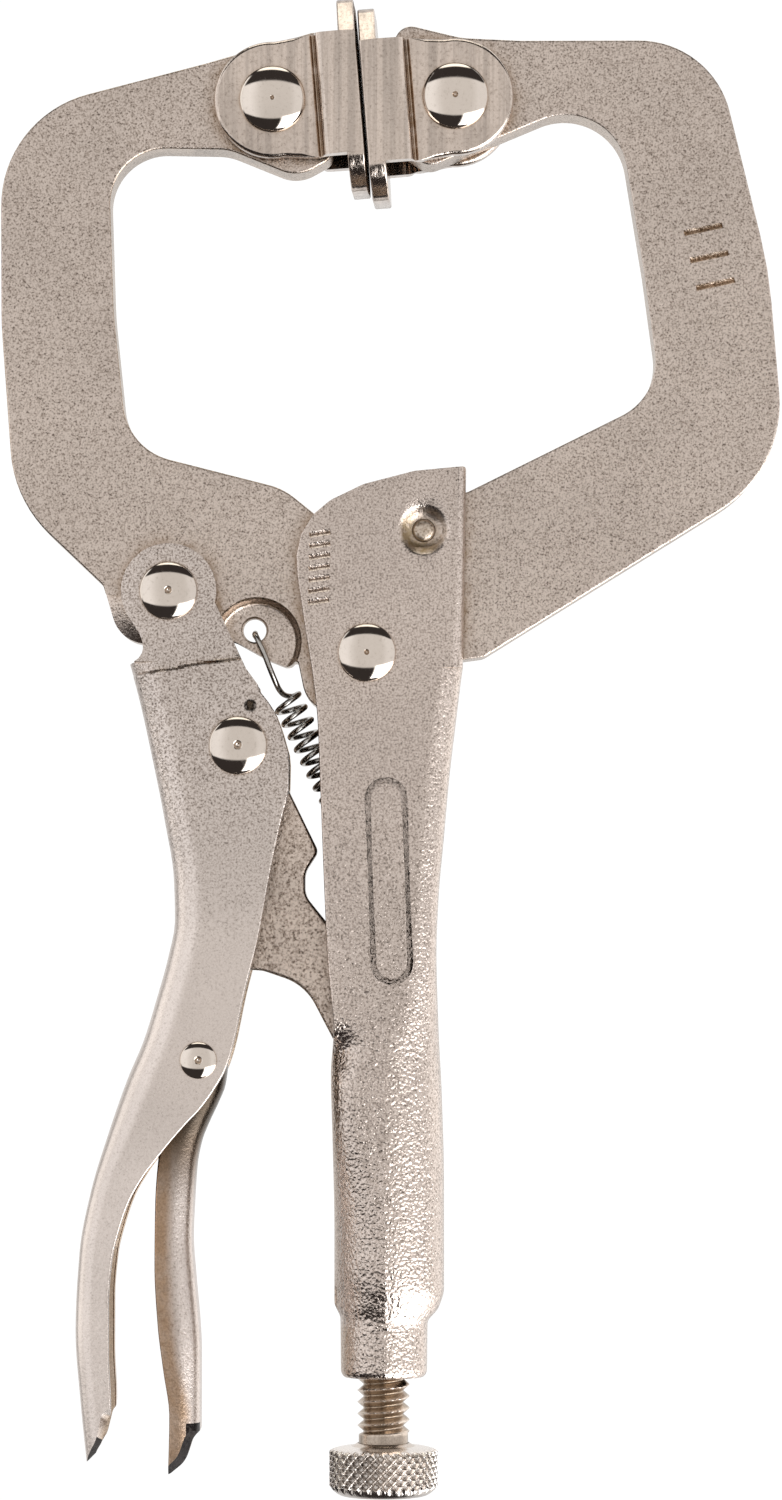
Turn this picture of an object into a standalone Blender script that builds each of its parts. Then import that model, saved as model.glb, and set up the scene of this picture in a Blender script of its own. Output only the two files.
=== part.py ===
"""Locking C clamp with swivel pads. Metres, +Z up.

The tool lies in the XZ plane: X runs across the jaws, Y is the axis of every rivet, and the
thumb screw runs along Z. It is drawn in millimetres about the main pivot, jaws above and grip
below, then stood on its thumb screw. Front is -Y, left is -X. MM turns millimetres into metres.
"""

import bpy
import bmesh
import math
from mathutils import Vector, Matrix

for old in list(bpy.data.objects):
    bpy.data.objects.remove(old, do_unlink=True)

MM = 0.001

# ---- driving dimensions (mm) ----
JAW_T = 4.8            # thickness of both jaw plates
LINK_T = 4.2           # thickness of the toggle link
SHEET = 1.5            # gauge of the channels and pads
CHEEK_OUT = 4.2        # half width over the handle's cheeks, lever's ears and pads' noses
LEVER_NECK_HW = 4.9    # half width of the lever's channel at the link rivet
TUBE_HW = 5.0          # half width of the rolled grip
SOCKET_R = 3.95        # outside radius of the screw socket
SOCKET_WALL = 1.2

HOLE_R = 2.05          # main rivet holes
SHANK_R = 1.85         # main rivet shanks
HEAD_R = 2.62          # main rivet heads
RELEASE_HOLE_R = 1.45
SEAT_GAP = 0.12        # clearance under a main rivet's heads

# Places as (x, z)
PIVOT = (0.0, 0.0)             # movable jaw on handle
LEVER_PIN = (-17.9, 5.6)       # lever on movable jaw
LINK_PIN = (-11.6, -8.4)       # toggle link on lever
RELEASE_PIN = (-15.1, -36.7)   # release lever on lever
PAD_PIN_L = (-8.55, 50.2)
PAD_PIN_R = (8.0, 50.5)
WELD_PLUG = (5.15, 11.0)
SPRING_HOLE = (-10.2, 2.2)
SPRING_TAB = (1.5, -18.9)

FILLET_STEP = math.radians(24)   # largest turn of one facet in a rounded corner
ROUND = 16                       # facets of a turned piece or hole
SMALL_ROUND = 12                 # facets of the smallest ones
BEND_FACETS = 3                  # facets of a channel's bend
SMOOTH_ANGLE = math.radians(35)  # sharper edges stay crisp

NICKEL = (0.62, 0.57, 0.53)
BRIGHT = (0.78, 0.76, 0.74)
STEEL = (0.50, 0.48, 0.45)


# ---- materials ----
def metal(name, colour, roughness):
    mat = bpy.data.materials.new(name)
    mat.use_nodes = True
    shader = mat.node_tree.nodes["Principled BSDF"]
    shader.inputs["Base Color"].default_value = (*colour, 1)
    shader.inputs["Roughness"].default_value = roughness
    shader.inputs["Metallic"].default_value = 1.0
    mat.diffuse_color = (*colour, 1)
    return mat


def finish(obj, colour, roughness):
    """Gives a piece its own metal and smooth shading between crisp edges."""
    obj.data.materials.clear()
    obj.data.materials.append(metal(obj.name + "_finish", colour, roughness))
    obj.data.shade_smooth()
    obj.data.set_sharp_from_angle(angle=SMOOTH_ANGLE)


# ---- outlines ----
def arc(cx, cy, radius, start, end, count):
    """Points of an arc in count facets, both ends included."""
    angles = [start + (end - start) * i / count for i in range(count + 1)]
    return [(cx + radius * math.cos(a), cy + radius * math.sin(a)) for a in angles]


def circle(cx, cy, radius, count=ROUND):
    return arc(cx, cy, radius, 0.0, 2 * math.pi, count)[:-1]


def fillet(corners):
    """Closed outline through corners (x, z, radius), each rounded to its radius."""
    outline = []
    for i, (x, z, radius) in enumerate(corners):
        corner = Vector((x, z))
        back = Vector(corners[i - 1][:2]) - corner
        ahead = Vector(corners[(i + 1) % len(corners)][:2]) - corner
        back_len, ahead_len = back.length, ahead.length
        back, ahead = back / back_len, ahead / ahead_len
        angle = math.acos(max(-1.0, min(1.0, back.dot(ahead))))
        if radius <= 0 or angle > math.pi - 0.03:
            outline.append((corner.x, corner.y))
            continue
        # a fillet takes up less than half of either side
        trim = min(radius / math.tan(angle / 2), 0.49 * back_len, 0.49 * ahead_len)
        fitted = trim * math.tan(angle / 2)
        centre = corner + (back + ahead).normalized() * (fitted / math.sin(angle / 2))
        first = corner + back * trim - centre
        last = corner + ahead * trim - centre
        start = math.atan2(first.y, first.x)
        turn = math.atan2(last.y, last.x) - start
        turn = (turn + math.pi) % (2 * math.pi) - math.pi
        count = max(1, int(math.ceil(abs(turn) / FILLET_STEP)))
        outline += arc(centre.x, centre.y, fitted, start, start + turn, count)
    return outline


# ---- solids ----
def mesh_object(name, verts, faces):
    """Closed mesh from millimetre vertices, with its faces turned outwards."""
    mesh = bpy.data.meshes.new(name)
    mesh.from_pydata([Vector(v) * MM for v in verts], [], faces)
    bm = bmesh.new()
    bm.from_mesh(mesh)
    bmesh.ops.recalc_face_normals(bm, faces=bm.faces)
    if bm.calc_volume(signed=True) < 0:
        bmesh.ops.reverse_faces(bm, faces=bm.faces)
    bm.to_mesh(mesh)
    bm.free()
    obj = bpy.data.objects.new(name, mesh)
    bpy.context.scene.collection.objects.link(obj)
    return obj


def loft(name, rings):
    """Skin through rings of equal length, with a flat cap at both ends."""
    count = len(rings[0])
    verts = [v for ring in rings for v in ring]
    faces = [list(range(count)), [len(verts) - 1 - i for i in range(count)]]
    for a in range(0, len(verts) - count, count):
        b = a + count
        for i in range(count):
            j = (i + 1) % count
            faces.append([a + i, a + j, b + j, b + i])
    return mesh_object(name, verts, faces)


def prism(name, outline, y0, y1):
    """Outline in XZ carried from y0 to y1."""
    return loft(name, [[(x, y, z) for x, z in outline] for y in (y0, y1)])


def turned(name, profile, centre, axis="Y", count=ROUND):
    """Solid of revolution from (radius, station) pairs; both ends have radius 0."""
    verts, rings = [], []
    for radius, station in profile:
        points = circle(0.0, 0.0, radius, count) if radius > 0 else [(0.0, 0.0)]
        rings.append(range(len(verts), len(verts) + len(points)))
        verts += [(x, station, z) for x, z in points]
    faces = []
    for a, b in zip(rings, rings[1:]):
        for i in range(count):
            j = (i + 1) % count
            if len(a) == 1:
                faces.append([a[0], b[i], b[j]])
            elif len(b) == 1:
                faces.append([a[i], b[0], a[j]])
            else:
                faces.append([a[i], b[i], b[j], a[j]])
    if axis == "Z":
        verts = [(x, z, y) for x, y, z in verts]
    verts = [(x + centre[0], y + centre[1], z + centre[2]) for x, y, z in verts]
    return mesh_object(name, verts, faces)


def boolean(obj, tool, operation="DIFFERENCE"):
    """Joins or cuts with the exact solver, then drops the tool."""
    modifier = obj.modifiers.new("cut", "BOOLEAN")
    modifier.operation = operation
    modifier.solver = "EXACT"
    modifier.object = tool
    bpy.context.view_layer.update()
    depsgraph = bpy.context.evaluated_depsgraph_get()
    mesh = bpy.data.meshes.new_from_object(obj.evaluated_get(depsgraph))
    obj.modifiers.clear()
    obj.data = mesh
    mesh.name = obj.name
    bpy.data.objects.remove(tool, do_unlink=True)


def cut_through(obj, outline, reach=9.0):
    boolean(obj, prism("cutter", outline, -reach, reach))


def pin_hole(obj, at, radius=HOLE_R, count=ROUND):
    cut_through(obj, circle(*at, radius, count), reach=12.0)


# ---- folded-sheet sections ----
LIP_EDGE_R = 0.18   # rounding of an open lip's edges
SEAM_HALF = 0.3     # half the gap left in the closed tube's seam


def clamp01(value):
    return max(0.0, min(1.0, value))


def ease_off(z, low, span):
    """1 up to height low, easing to 0 over the span above it."""
    part = 1.0 - clamp01((z - low) / span)
    return part * part * (3 - 2 * part)


def value_at(rows, z):
    """Smooth value at z from (z, value) rows sorted from low z to high z."""
    if z <= rows[0][0]:
        return rows[0][1]
    if z >= rows[-1][0]:
        return rows[-1][1]

    def grade(k):
        """Slope of the straight run from row k to the next."""
        return (rows[k + 1][1] - rows[k][1]) / (rows[k + 1][0] - rows[k][0])

    def slope(k):
        """Slope at row k; level where the values turn back."""
        if k == 0:
            return grade(0)
        if k == len(rows) - 1:
            return grade(k - 1)
        below, above = grade(k - 1), grade(k)
        return 0.0 if below * above <= 0 else 2 * below * above / (below + above)

    i = next(k for k in range(len(rows) - 1) if z <= rows[k + 1][0])
    height = rows[i + 1][0] - rows[i][0]
    t = (z - rows[i][0]) / height
    return (
        rows[i][1] * (1 + 2 * t) * (1 - t) ** 2
        + slope(i) * height * t * (1 - t) ** 2
        + rows[i + 1][1] * t * t * (3 - 2 * t)
        + slope(i + 1) * height * t * t * (t - 1)
    )


def channel_ring(z, mouth, spine, half_width, bend, gauge, closed=0.0, lip_r=1.0):
    """One folded-sheet section at height z.

    mouth and spine are X positions, half_width and bend (the radius at the spine) are outside
    sizes. closed blends an open channel (0) into a tube with a narrow seam (1), whose lips
    curl in at radius lip_r.
    """
    side = 1.0 if spine > mouth else -1.0
    quarter = math.pi / 2
    to_mouth = math.pi if side > 0 else 0
    to_cheek = 3 * quarter if side > 0 else -quarter
    to_spine = 0 if side > 0 else -math.pi

    def half(spine_x, width, bend_r, curl_r, inner):
        """The -Y half of the inner or outer skin, from the mouth round to the spine."""
        inward = -1 if inner else 1
        lip = arc(mouth + side * LIP_EDGE_R, -width + inward * LIP_EDGE_R, LIP_EDGE_R,
                  to_mouth, quarter if inner else to_cheek, BEND_FACETS)
        open_form = [(mouth, -width + inward * (LIP_EDGE_R + 0.05))] + lip
        curl_x = mouth + (side * gauge if inner else 0)
        curl = arc(curl_x + side * curl_r, -width + curl_r, curl_r,
                   to_mouth, to_cheek, BEND_FACETS)
        closed_form = [(curl_x, -SEAM_HALF)] + curl
        blend = [
            (a[0] * (1 - closed) + b[0] * closed, a[1] * (1 - closed) + b[1] * closed)
            for a, b in zip(open_form, closed_form)
        ]
        return blend + arc(spine_x - side * bend_r, -width + bend_r, bend_r,
                           -quarter, to_spine, BEND_FACETS)

    inside = half_width - gauge
    outer = half(spine, half_width, min(bend, half_width - 0.05),
                 min(lip_r, half_width - SEAM_HALF - 0.1), False)
    inner = half(spine - side * gauge, inside, max(0.12, min(bend - gauge, inside - 0.05)),
                 max(0.1, min(lip_r - gauge, inside - SEAM_HALF - 0.1)), True)
    ring = outer + [(x, -y) for x, y in reversed(outer)]
    ring += [(x, -y) for x, y in inner] + inner[::-1]
    return [(x, y, z) for x, y in ring]


# ---- movable jaw: the left C arm, its tail round the pivot ----
JAW_LEFT = [  # x, z, corner radius
    (-3.6, 57.0, 1.3), (-14.6, 53.8, 20), (-33.3, 48.9, 10.5), (-33.2, 30.0, 30),
    (-32.0, 13.9, 11.5), (-23.9, 6.2, 1.0), (-22.4, 1.1, 3.2), (-15.0, 0.6, 2.5),
    (-12.4, 1.4, 2.0), (-8.9, -0.55, 2.0), (-7.0, -1.3, 0.9), (-6.3, -0.4, 0.25),
    (-5.3, -5.3, 5.0), (5.3, -5.3, 5.1), (5.3, 5.3, 5.1), (-1.9, 5.3, 0.8),
    (-2.4, 10.8, 3.0), (-7.6, 15.0, 6.0), (-21.7, 18.6, 5.6), (-23.0, 31.0, 30),
    (-23.5, 46.1, 6.6), (-12.2, 45.7, 5.0), (-7.0, 42.9, 2.4), (-3.2, 44.6, 1.6),
]
RELIEF_AT, RELIEF_R = (-10.1, 1.2), 3.7
RELIEF_FLOOR = 1.25   # from the centre plane
SPRING_HOLE_R = 1.05


def build_movable_jaw():
    jaw = prism("movable_jaw", fillet(JAW_LEFT), -JAW_T / 2, JAW_T / 2)
    # coined reliefs let the spring hook lie close to the centre plane
    for y0, y1 in ((-5, -RELIEF_FLOOR), (RELIEF_FLOOR, 5)):
        boolean(jaw, prism("cutter", circle(*RELIEF_AT, RELIEF_R, 20), y0, y1))
    for pin in (PIVOT, LEVER_PIN, PAD_PIN_L):
        pin_hole(jaw, pin)
    pin_hole(jaw, SPRING_HOLE, SPRING_HOLE_R, SMALL_ROUND)
    finish(jaw, NICKEL, roughness=0.42)


# ---- fixed jaw: the right C arm, its root welded between the handle's cheeks ----
JAW_RIGHT = [  # x, z, corner radius
    (2.4, 57.6, 1.4), (8.6, 56.1, 8), (14.0, 55.85, 10), (31.4, 55.9, 8.5),
    (36.5, 35.0, 40), (38.0, 16.7, 11.5), (10.6, -0.3, 0.8), (6.2, -0.9, 0.6),
    (6.2, 3.4, 1.5), (4.6, 6.2, 1.5), (0.9, 7.2, 0.6), (0.9, 13.4, 1.2),
    (9.0, 14.6, 3.0), (26.7, 23.4, 5.6), (25.2, 34.6, 30), (22.5, 51.4, 6.7),
    (6.6, 44.1, 2.0), (4.9, 43.3, 1.3), (3.0, 45.2, 0.9),
]


def build_fixed_jaw():
    jaw = prism("fixed_jaw", fillet(JAW_RIGHT), -JAW_T / 2, JAW_T / 2)
    pin_hole(jaw, PAD_PIN_R)
    finish(jaw, NICKEL, roughness=0.42)


# ---- fixed handle: channel at the top, rolled into a tube with a screw socket below ----
HANDLE_MOUTH = [  # z, x of the open edge
    (-65.4, -2.35), (-60.2, -2.4), (-58.6, -2.95), (-52.0, -2.95), (-44.0, -3.1),
    (-38.0, -3.25), (-34.0, -3.0), (-28.0, -3.5), (-22.0, -3.8), (-12.0, -4.2),
    (-6.0, -4.45), (-2.0, -4.9), (1.2, -5.4), (5.0, -6.0), (8.4, -6.4), (10.3, -6.1),
    (12.4, -5.0), (13.6, -3.4),
]
HANDLE_SPINE = [  # z, x of the spine's outside
    (-65.4, 5.45), (-60.6, 5.5), (-59.2, 6.5), (-57.4, 7.0), (-48.0, 7.0), (-40.0, 6.8),
    (-34.0, 6.5), (-27.0, 6.3), (-22.0, 6.5), (-17.0, 6.95), (-11.0, 7.5), (-6.0, 8.1),
    (-2.0, 8.6), (0.0, 8.9),
]
HANDLE_HW = [  # z, half width outside
    (-65.4, 3.9), (-60.4, SOCKET_R), (-58.4, 4.95), (-48.0, TUBE_HW), (-36.0, 4.9),
    (-28.0, 4.5), (-18.0, 4.25), (-10.0, CHEEK_OUT), (20.0, CHEEK_OUT),
]
HANDLE_Z = [
    -65.4, -60.6, -60.0, -59.2, -58.2, -50, -45, -43.8, -42.6, -41.2, -39.5, -38, -36.9,
    -35.8, -34.5, -31, -27, -22, -17, -11, -6, -3, -1.32, -1.28, 1.2, 4, 7, 9, 11, 12.6, 17.5,
]
HANDLE_TOP_CUT = [  # x, z, corner radius; leaves the two cheeks without a spine
    (-14, 12.2, 0), (-5.2, 12.2, 0.5), (-3.3, 13.8, 3), (-0.3, 15.25, 3), (4.3, 16.45, 3),
    (9.0, 16.9, 0.3), (8.7, -1.36, 0), (30, -1.36, 0), (30, 30, 0), (-14, 30, 0),
]
HANDLE_SPINE_TOP = -1.3
HANDLE_CLEAR_X = 15.0   # spine of the cheeks' section, cut away afterwards
HANDLE_BEND = 2.3       # spine bend of the open channel
SOCKET_TOP = -58.0      # the wall thins from here down
SOCKET_TAPER = 2.0
TAB_HALF_T = 0.5
TAB_HALF_W = 0.7
PLUG_HOLE_R = 1.3


def handle_ring(z):
    mouth, half_width = value_at(HANDLE_MOUTH, z), value_at(HANDLE_HW, z)
    spine = value_at(HANDLE_SPINE, z) if z < HANDLE_SPINE_TOP else HANDLE_CLEAR_X
    # the lips hem in first, then the seam shuts further down
    closed = 0.35 * ease_off(z, -38.0, 3.5) + 0.65 * ease_off(z, -45.0, 5.5)
    full = min(half_width, (spine - mouth) / 2) - 0.06
    bend = HANDLE_BEND + (full - HANDLE_BEND) * ease_off(z, -38.0, 12.0)
    thinning = clamp01((SOCKET_TOP - z) / SOCKET_TAPER)
    gauge = SHEET - (SHEET - SOCKET_WALL) * thinning
    return channel_ring(z, mouth, spine, half_width, bend, gauge, closed=closed, lip_r=full)


def build_handle():
    handle = loft("fixed_handle", [handle_ring(z) for z in HANDLE_Z])
    cut_through(handle, fillet(HANDLE_TOP_CUT))
    pin_hole(handle, PIVOT)
    pin_hole(handle, WELD_PLUG, PLUG_HOLE_R, SMALL_ROUND)
    # spring anchor: a tab standing from the spine into the channel
    top, bottom = SPRING_TAB[1] + TAB_HALF_T, SPRING_TAB[1] - TAB_HALF_T
    outline = [(0.7, top), (0.7, bottom), (6.4, bottom), (6.4, top)]
    boolean(handle, prism("tab", outline, -TAB_HALF_W, TAB_HALF_W), "UNION")
    finish(handle, NICKEL, roughness=0.38)


# ---- weld plugs: one in each cheek of the handle ----
PLUG_PROFILE = [  # radius, distance from the centre plane
    (0, 2.7), (0.85, 2.7), (1.0, 2.85), (1.0, 3.55), (0.7, 3.85), (0, 3.95),
]


def build_weld_plug(name, side):
    profile = [(radius, side * y) for radius, y in PLUG_PROFILE]
    plug = turned(name, profile, (WELD_PLUG[0], 0, WELD_PLUG[1]), count=SMALL_ROUND)
    finish(plug, NICKEL, roughness=0.5)


# ---- lever: channel with its spine to the left, two ears gripping the movable jaw ----
LEVER_MOUTH = [  # z, x of the open edge
    (-75.0, -23.2), (-67.6, -22.9), (-63.0, -23.1), (-58.5, -23.1), (-54.6, -22.8),
    (-51.7, -22.1), (-49.4, -21.3), (-47.1, -20.0), (-45.5, -18.8), (-44.0, -17.6),
    (-42.4, -16.2), (-40.9, -14.8), (-39.2, -13.6), (-37.6, -12.7), (-35.4, -12.0),
    (-31.1, -11.1), (-25.9, -9.8), (-19.4, -8.6), (-15.2, -7.7), (-12.3, -7.05),
    (-9.7, -7.0), (-7.9, -7.4), (-5.3, -8.3), (-2.9, -9.8), (12.0, -9.8),
]
LEVER_SPINE = [  # z, x of the spine's outside
    (-75.0, -24.9), (-67.3, -25.7), (-61.0, -26.15), (-53.9, -25.8), (-48.5, -24.8),
    (-43.1, -23.2), (-38.5, -21.6), (-34.9, -20.1), (-31.3, -19.0), (-27.7, -18.0),
    (-24.1, -17.35), (-20.5, -17.45), (-15.1, -18.3), (-9.6, -19.4), (-4.2, -20.6),
    (-0.9, -21.5),
]
LEVER_HW = [  # z, half width outside
    (-75.0, 5.3), (-66.0, 5.8), (-56.0, 6.0), (-44.0, 5.8), (-30.0, 5.2),
    (-14.0, LEVER_NECK_HW), (-1.9, LEVER_NECK_HW), (-0.9, CHEEK_OUT), (12.0, CHEEK_OUT),
]
LEVER_Z = [
    -74.2, -71, -67, -63, -58.5, -54.5, -51, -48, -45.5, -43, -41, -39, -37.2, -34.5, -31,
    -27.5, -24, -20, -15.5, -12, -9.5, -7, -4.5, -1.9, -1.4, -0.9, -0.6, 3, 12,
]
LEVER_SPINE_TOP = -0.75
LEVER_CLEAR_X = -27.0   # spine of the ears' section, cut away afterwards
EAR_R = 4.3
LEVER_EAR_CUT = [  # x, z
    (-34, -1.0), (-21.6, -1.0), (-20.6, -0.5), (-20.2, 0.4), (-20.5, 1.7),
    *arc(*LEVER_PIN, EAR_R, math.radians(215), math.radians(-14), 14),
    (-12.7, 2.4), (-11.0, -1.3), (-9.75, -3.0), (2, -3.0), (2, 24), (-34, 24),
]
LEVER_TIP_CUT = [  # x, z
    (-22.9, -68.6), (-23.2, -70.2), (-24.0, -71.6), (-25.4, -73.0), (-30, -73.6),
    (-30, -80), (-10, -80), (-10, -68.0),
]


def lever_ring(z):
    mouth, half_width = value_at(LEVER_MOUTH, z), value_at(LEVER_HW, z)
    spine = value_at(LEVER_SPINE, z) if z < LEVER_SPINE_TOP else LEVER_CLEAR_X
    depth = abs(mouth - spine)
    gauge = min(SHEET, max(0.9, depth * 0.42))
    return channel_ring(z, mouth, spine, half_width, min(2.6, depth - 0.5), gauge)


def build_lever():
    lever = loft("lever", [lever_ring(z) for z in LEVER_Z])
    cut_through(lever, LEVER_EAR_CUT)
    cut_through(lever, LEVER_TIP_CUT)
    pin_hole(lever, LEVER_PIN)
    pin_hole(lever, LINK_PIN)
    pin_hole(lever, RELEASE_PIN, RELEASE_HOLE_R, SMALL_ROUND)
    finish(lever, NICKEL, roughness=0.34)


# ---- toggle link: flat plate from the lever to the screw's nose ----
LINK = [  # x, z, corner radius
    (-8.2, -5.0, 3.3), (-8.0, -10.5, 3), (-4.4, -17.9, 0.9), (-5.6, -19.8, 2.0),
    (-5.6, -21.9, 2.0), (-3.6, -24.4, 1.4), (2.4, -26.6, 3.0), (3.9, -33.0, 4.0),
    (3.2, -39.6, 2.3), (-0.6, -39.6, 2.6), (-5.6, -30.0, 5.0), (-9.4, -28.7, 3.0),
    (-12.7, -28.5, 1.2), (-12.9, -20.0, 6), (-15.0, -12.0, 4), (-15.0, -5.0, 3.3),
]


def build_link():
    link = prism("toggle_link", fillet(LINK), -LINK_T / 2, LINK_T / 2)
    pin_hole(link, LINK_PIN)
    finish(link, NICKEL, roughness=0.45)


# ---- release lever: narrow channel inside the lever, its spine towards the handle ----
RELEASE_MOUTH = [  # z, x of the open edge
    (-75.0, -17.9), (-68.7, -17.75), (-64.6, -18.3), (-60.6, -18.8), (-55.2, -19.1),
    (-49.8, -19.05), (-44.0, -18.6), (-39.0, -17.7), (-36.0, -16.9), (-33.0, -15.9),
    (-30.0, -14.9),
]
RELEASE_SPINE = [  # z, x of the spine's outside
    (-75.0, -15.2), (-69.0, -15.0), (-63.1, -15.0), (-60.9, -15.1), (-56.4, -15.5),
    (-52.8, -15.75), (-49.2, -15.6), (-46.3, -15.4), (-44.2, -15.0), (-42.4, -14.3),
    (-40.7, -13.5), (-39.0, -12.85), (-36.7, -12.6), (-33.0, -12.6), (-30.0, -13.0),
]
RELEASE_HW = [  # z, half width outside
    (-75.0, 3.4), (-60.0, 3.7), (-46.0, 3.5), (-38.0, 3.3), (-30.0, 3.1),
]
RELEASE_Z = [
    -75, -71, -67, -63, -59, -55, -51, -47.5, -45, -43, -41, -39, -36.7, -33.5, -30.4,
]
RELEASE_TIP_CUT = [  # x, z
    (-14.0, -69.2), (-15.3, -70.4), (-16.2, -72.6), (-17.9, -74.1), (-22, -74.4),
    (-22, -80), (-10, -80), (-10, -69.2),
]


def release_ring(z):
    mouth, spine = value_at(RELEASE_MOUTH, z), value_at(RELEASE_SPINE, z)
    depth = abs(mouth - spine)
    gauge = min(1.2, depth * 0.4)
    return channel_ring(z, mouth, spine, value_at(RELEASE_HW, z), min(1.9, depth - 0.4), gauge)


def build_release_lever():
    release = loft("release_lever", [release_ring(z) for z in RELEASE_Z])
    cut_through(release, RELEASE_TIP_CUT)
    pin_hole(release, RELEASE_PIN, RELEASE_HOLE_R, SMALL_ROUND)
    finish(release, NICKEL, roughness=0.36)


# ---- rivets: one turned piece each, a domed head at both ends ----
CHEEK_SEAT = CHEEK_OUT + SEAT_GAP
RIVETS = [  # name, place, shank radius, head radius, half width under heads, dome, facets
    ("main_pivot_rivet", PIVOT, SHANK_R, HEAD_R, CHEEK_SEAT, 0.85, ROUND),
    ("lever_rivet", LEVER_PIN, SHANK_R, HEAD_R, CHEEK_SEAT, 0.85, ROUND),
    ("link_rivet", LINK_PIN, SHANK_R, HEAD_R, LEVER_NECK_HW + SEAT_GAP, 0.85, ROUND),
    ("release_rivet", RELEASE_PIN, 1.2, 1.65, 5.55, 0.6, SMALL_ROUND),
    ("left_pad_rivet", PAD_PIN_L, SHANK_R, 3.0, CHEEK_SEAT, 1.0, ROUND),
    ("right_pad_rivet", PAD_PIN_R, SHANK_R, 3.0, CHEEK_SEAT, 1.0, ROUND),
]


def build_rivet(name, at, shank, head, seat, dome, count):
    half = [(shank, seat), (head * 0.95, seat), (head, seat + 0.2)]
    for i in (1, 2):  # two steps up the dome
        turn = 82 * i / 3.0
        half.append((head * math.cos(math.radians(turn + 4)),
                     seat + 0.22 + (dome - 0.22) * math.sin(math.radians(turn + 8))))
    half += [(head * 0.12, seat + dome), (0, seat + dome - 0.08)]
    profile = [(radius, -y) for radius, y in reversed(half)] + half
    finish(turned(name, profile, (at[0], 0, at[1]), count=count), BRIGHT, roughness=0.12)


# ---- swivel pads: a face plate with two ears folded back and joggled in to the jaw ----
PAD_HALF = 8.8         # half height of the face plate
PAD_HW = 5.5           # half width of the face plate
PAD_FACE = 8.11        # rivet axis to the pad's face
PAD_BACK = PAD_FACE - 1.6
PAD_TILT = 4.6         # degrees both pads lean
PAD_EAR_HALF = 5.55    # half height of an ear
PAD_NOSE_R = 5.3
PAD_PLATE = [  # x, z, corner radius
    (PAD_BACK, -PAD_HALF, 0.3), (PAD_FACE, -PAD_HALF, 0.7),
    (PAD_FACE, PAD_HALF, 0.7), (PAD_BACK, PAD_HALF, 0.3),
]
PAD_EAR_PLAN = [  # x, distance from the centre plane
    (-6, CHEEK_OUT), (-6, CHEEK_OUT - SHEET), (3.7, CHEEK_OUT - SHEET),
    (4.5, PAD_HW - SHEET), (PAD_BACK + 0.4, PAD_HW - SHEET), (PAD_BACK + 0.4, PAD_HW),
    (4.7, PAD_HW), (3.5, CHEEK_OUT),
]
PAD_NOSE_CUT = [  # x, z; trims an ear round the rivet
    (-8, -9), (3.2, -9), (3.2, -PAD_EAR_HALF - 0.01),
    *arc(0, 0, PAD_NOSE_R, math.radians(-72), math.radians(-288), 14),
    (3.2, PAD_EAR_HALF + 0.01), (3.2, 9), (-8, 9),
]


def build_pad(name, pin, toward):
    """toward is +1 when the face looks along +X. Built round its pin, then leaned and placed."""
    pad = prism(name, fillet(PAD_PLATE), -PAD_HW, PAD_HW)
    for side in (-1, 1):
        ear = loft("ear", [
            [(x, side * y, z) for x, y in PAD_EAR_PLAN] for z in (-PAD_EAR_HALF, PAD_EAR_HALF)
        ])
        cut_through(ear, PAD_NOSE_CUT)
        boolean(pad, ear, "UNION")
    pin_hole(pad, (0, 0))
    lean = Matrix.Rotation(math.radians(-PAD_TILT), 4, "Y")
    pad.data.transform(lean @ Matrix.Scale(toward, 4, (1, 0, 0)))
    if toward < 0:  # mirroring turned the faces inside out
        pad.data.flip_normals()
    pad.location = (pin[0] * MM, 0, pin[1] * MM)
    finish(pad, NICKEL, roughness=0.3)


# ---- thumb screw and its round knob ----
SCREW_X = 1.5          # axis of the screw
SCREW_R = 2.4          # major radius
SCREW_PITCH = 1.058    # about 24 threads to the inch
THREAD_DEPTH = 0.55
THREAD_ROWS = 3        # rings per pitch
THREAD_FACETS = 10
SCREW_TIP = -40.75
NOSE_LEN = 1.3         # kept clear of thread below the tip
KNOB_R = 4.93
KNOB_TOP, KNOB_BOTTOM = -71.7, -76.1
KNOB_PROFILE = [  # radius, z
    (0, KNOB_BOTTOM), (KNOB_R * 0.80, KNOB_BOTTOM), (KNOB_R * 0.90, KNOB_BOTTOM + 0.25),
    (KNOB_R, KNOB_BOTTOM + 0.95), (KNOB_R, KNOB_TOP - 1.0), (KNOB_R * 0.9, KNOB_TOP - 0.3),
    (KNOB_R * 0.5, KNOB_TOP), (0, KNOB_TOP),
]


def build_screw():
    """Right-hand thread: rings whose radius follows the helix, with a blunt nose on top."""
    bottom = KNOB_TOP + 0.3
    step = SCREW_PITCH / THREAD_ROWS
    count = int((SCREW_TIP - NOSE_LEN - bottom) / step)
    run_out = 2.0 * THREAD_ROWS   # rings over which the thread fades at each end
    rings = []
    for k in range(count + 1):
        z = bottom + k * step
        fade = min(1.0, k / run_out, (count - k) / run_out)
        ring = []
        for i in range(THREAD_FACETS):
            angle = 2 * math.pi * i / THREAD_FACETS
            phase = (z / SCREW_PITCH - angle / (2 * math.pi)) % 1.0
            radius = SCREW_R - THREAD_DEPTH * abs(2 * phase - 1) * fade - 0.25 * (1 - fade)
            ring.append((SCREW_X + radius * math.cos(angle), radius * math.sin(angle), z))
        rings.append(ring)
    top = bottom + count * step
    for radius, z in ((2.0, top + 0.5), (1.6, top + 0.9), (0.9, SCREW_TIP)):
        rings.append([(x, y, z) for x, y in circle(SCREW_X, 0.0, radius, THREAD_FACETS)])
    finish(loft("adjusting_screw", rings), STEEL, roughness=0.3)


def build_knob():
    knob = turned("screw_knob", KNOB_PROFILE, (SCREW_X, 0, 0), axis="Z", count=24)
    finish(knob, STEEL, roughness=0.35)


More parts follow.
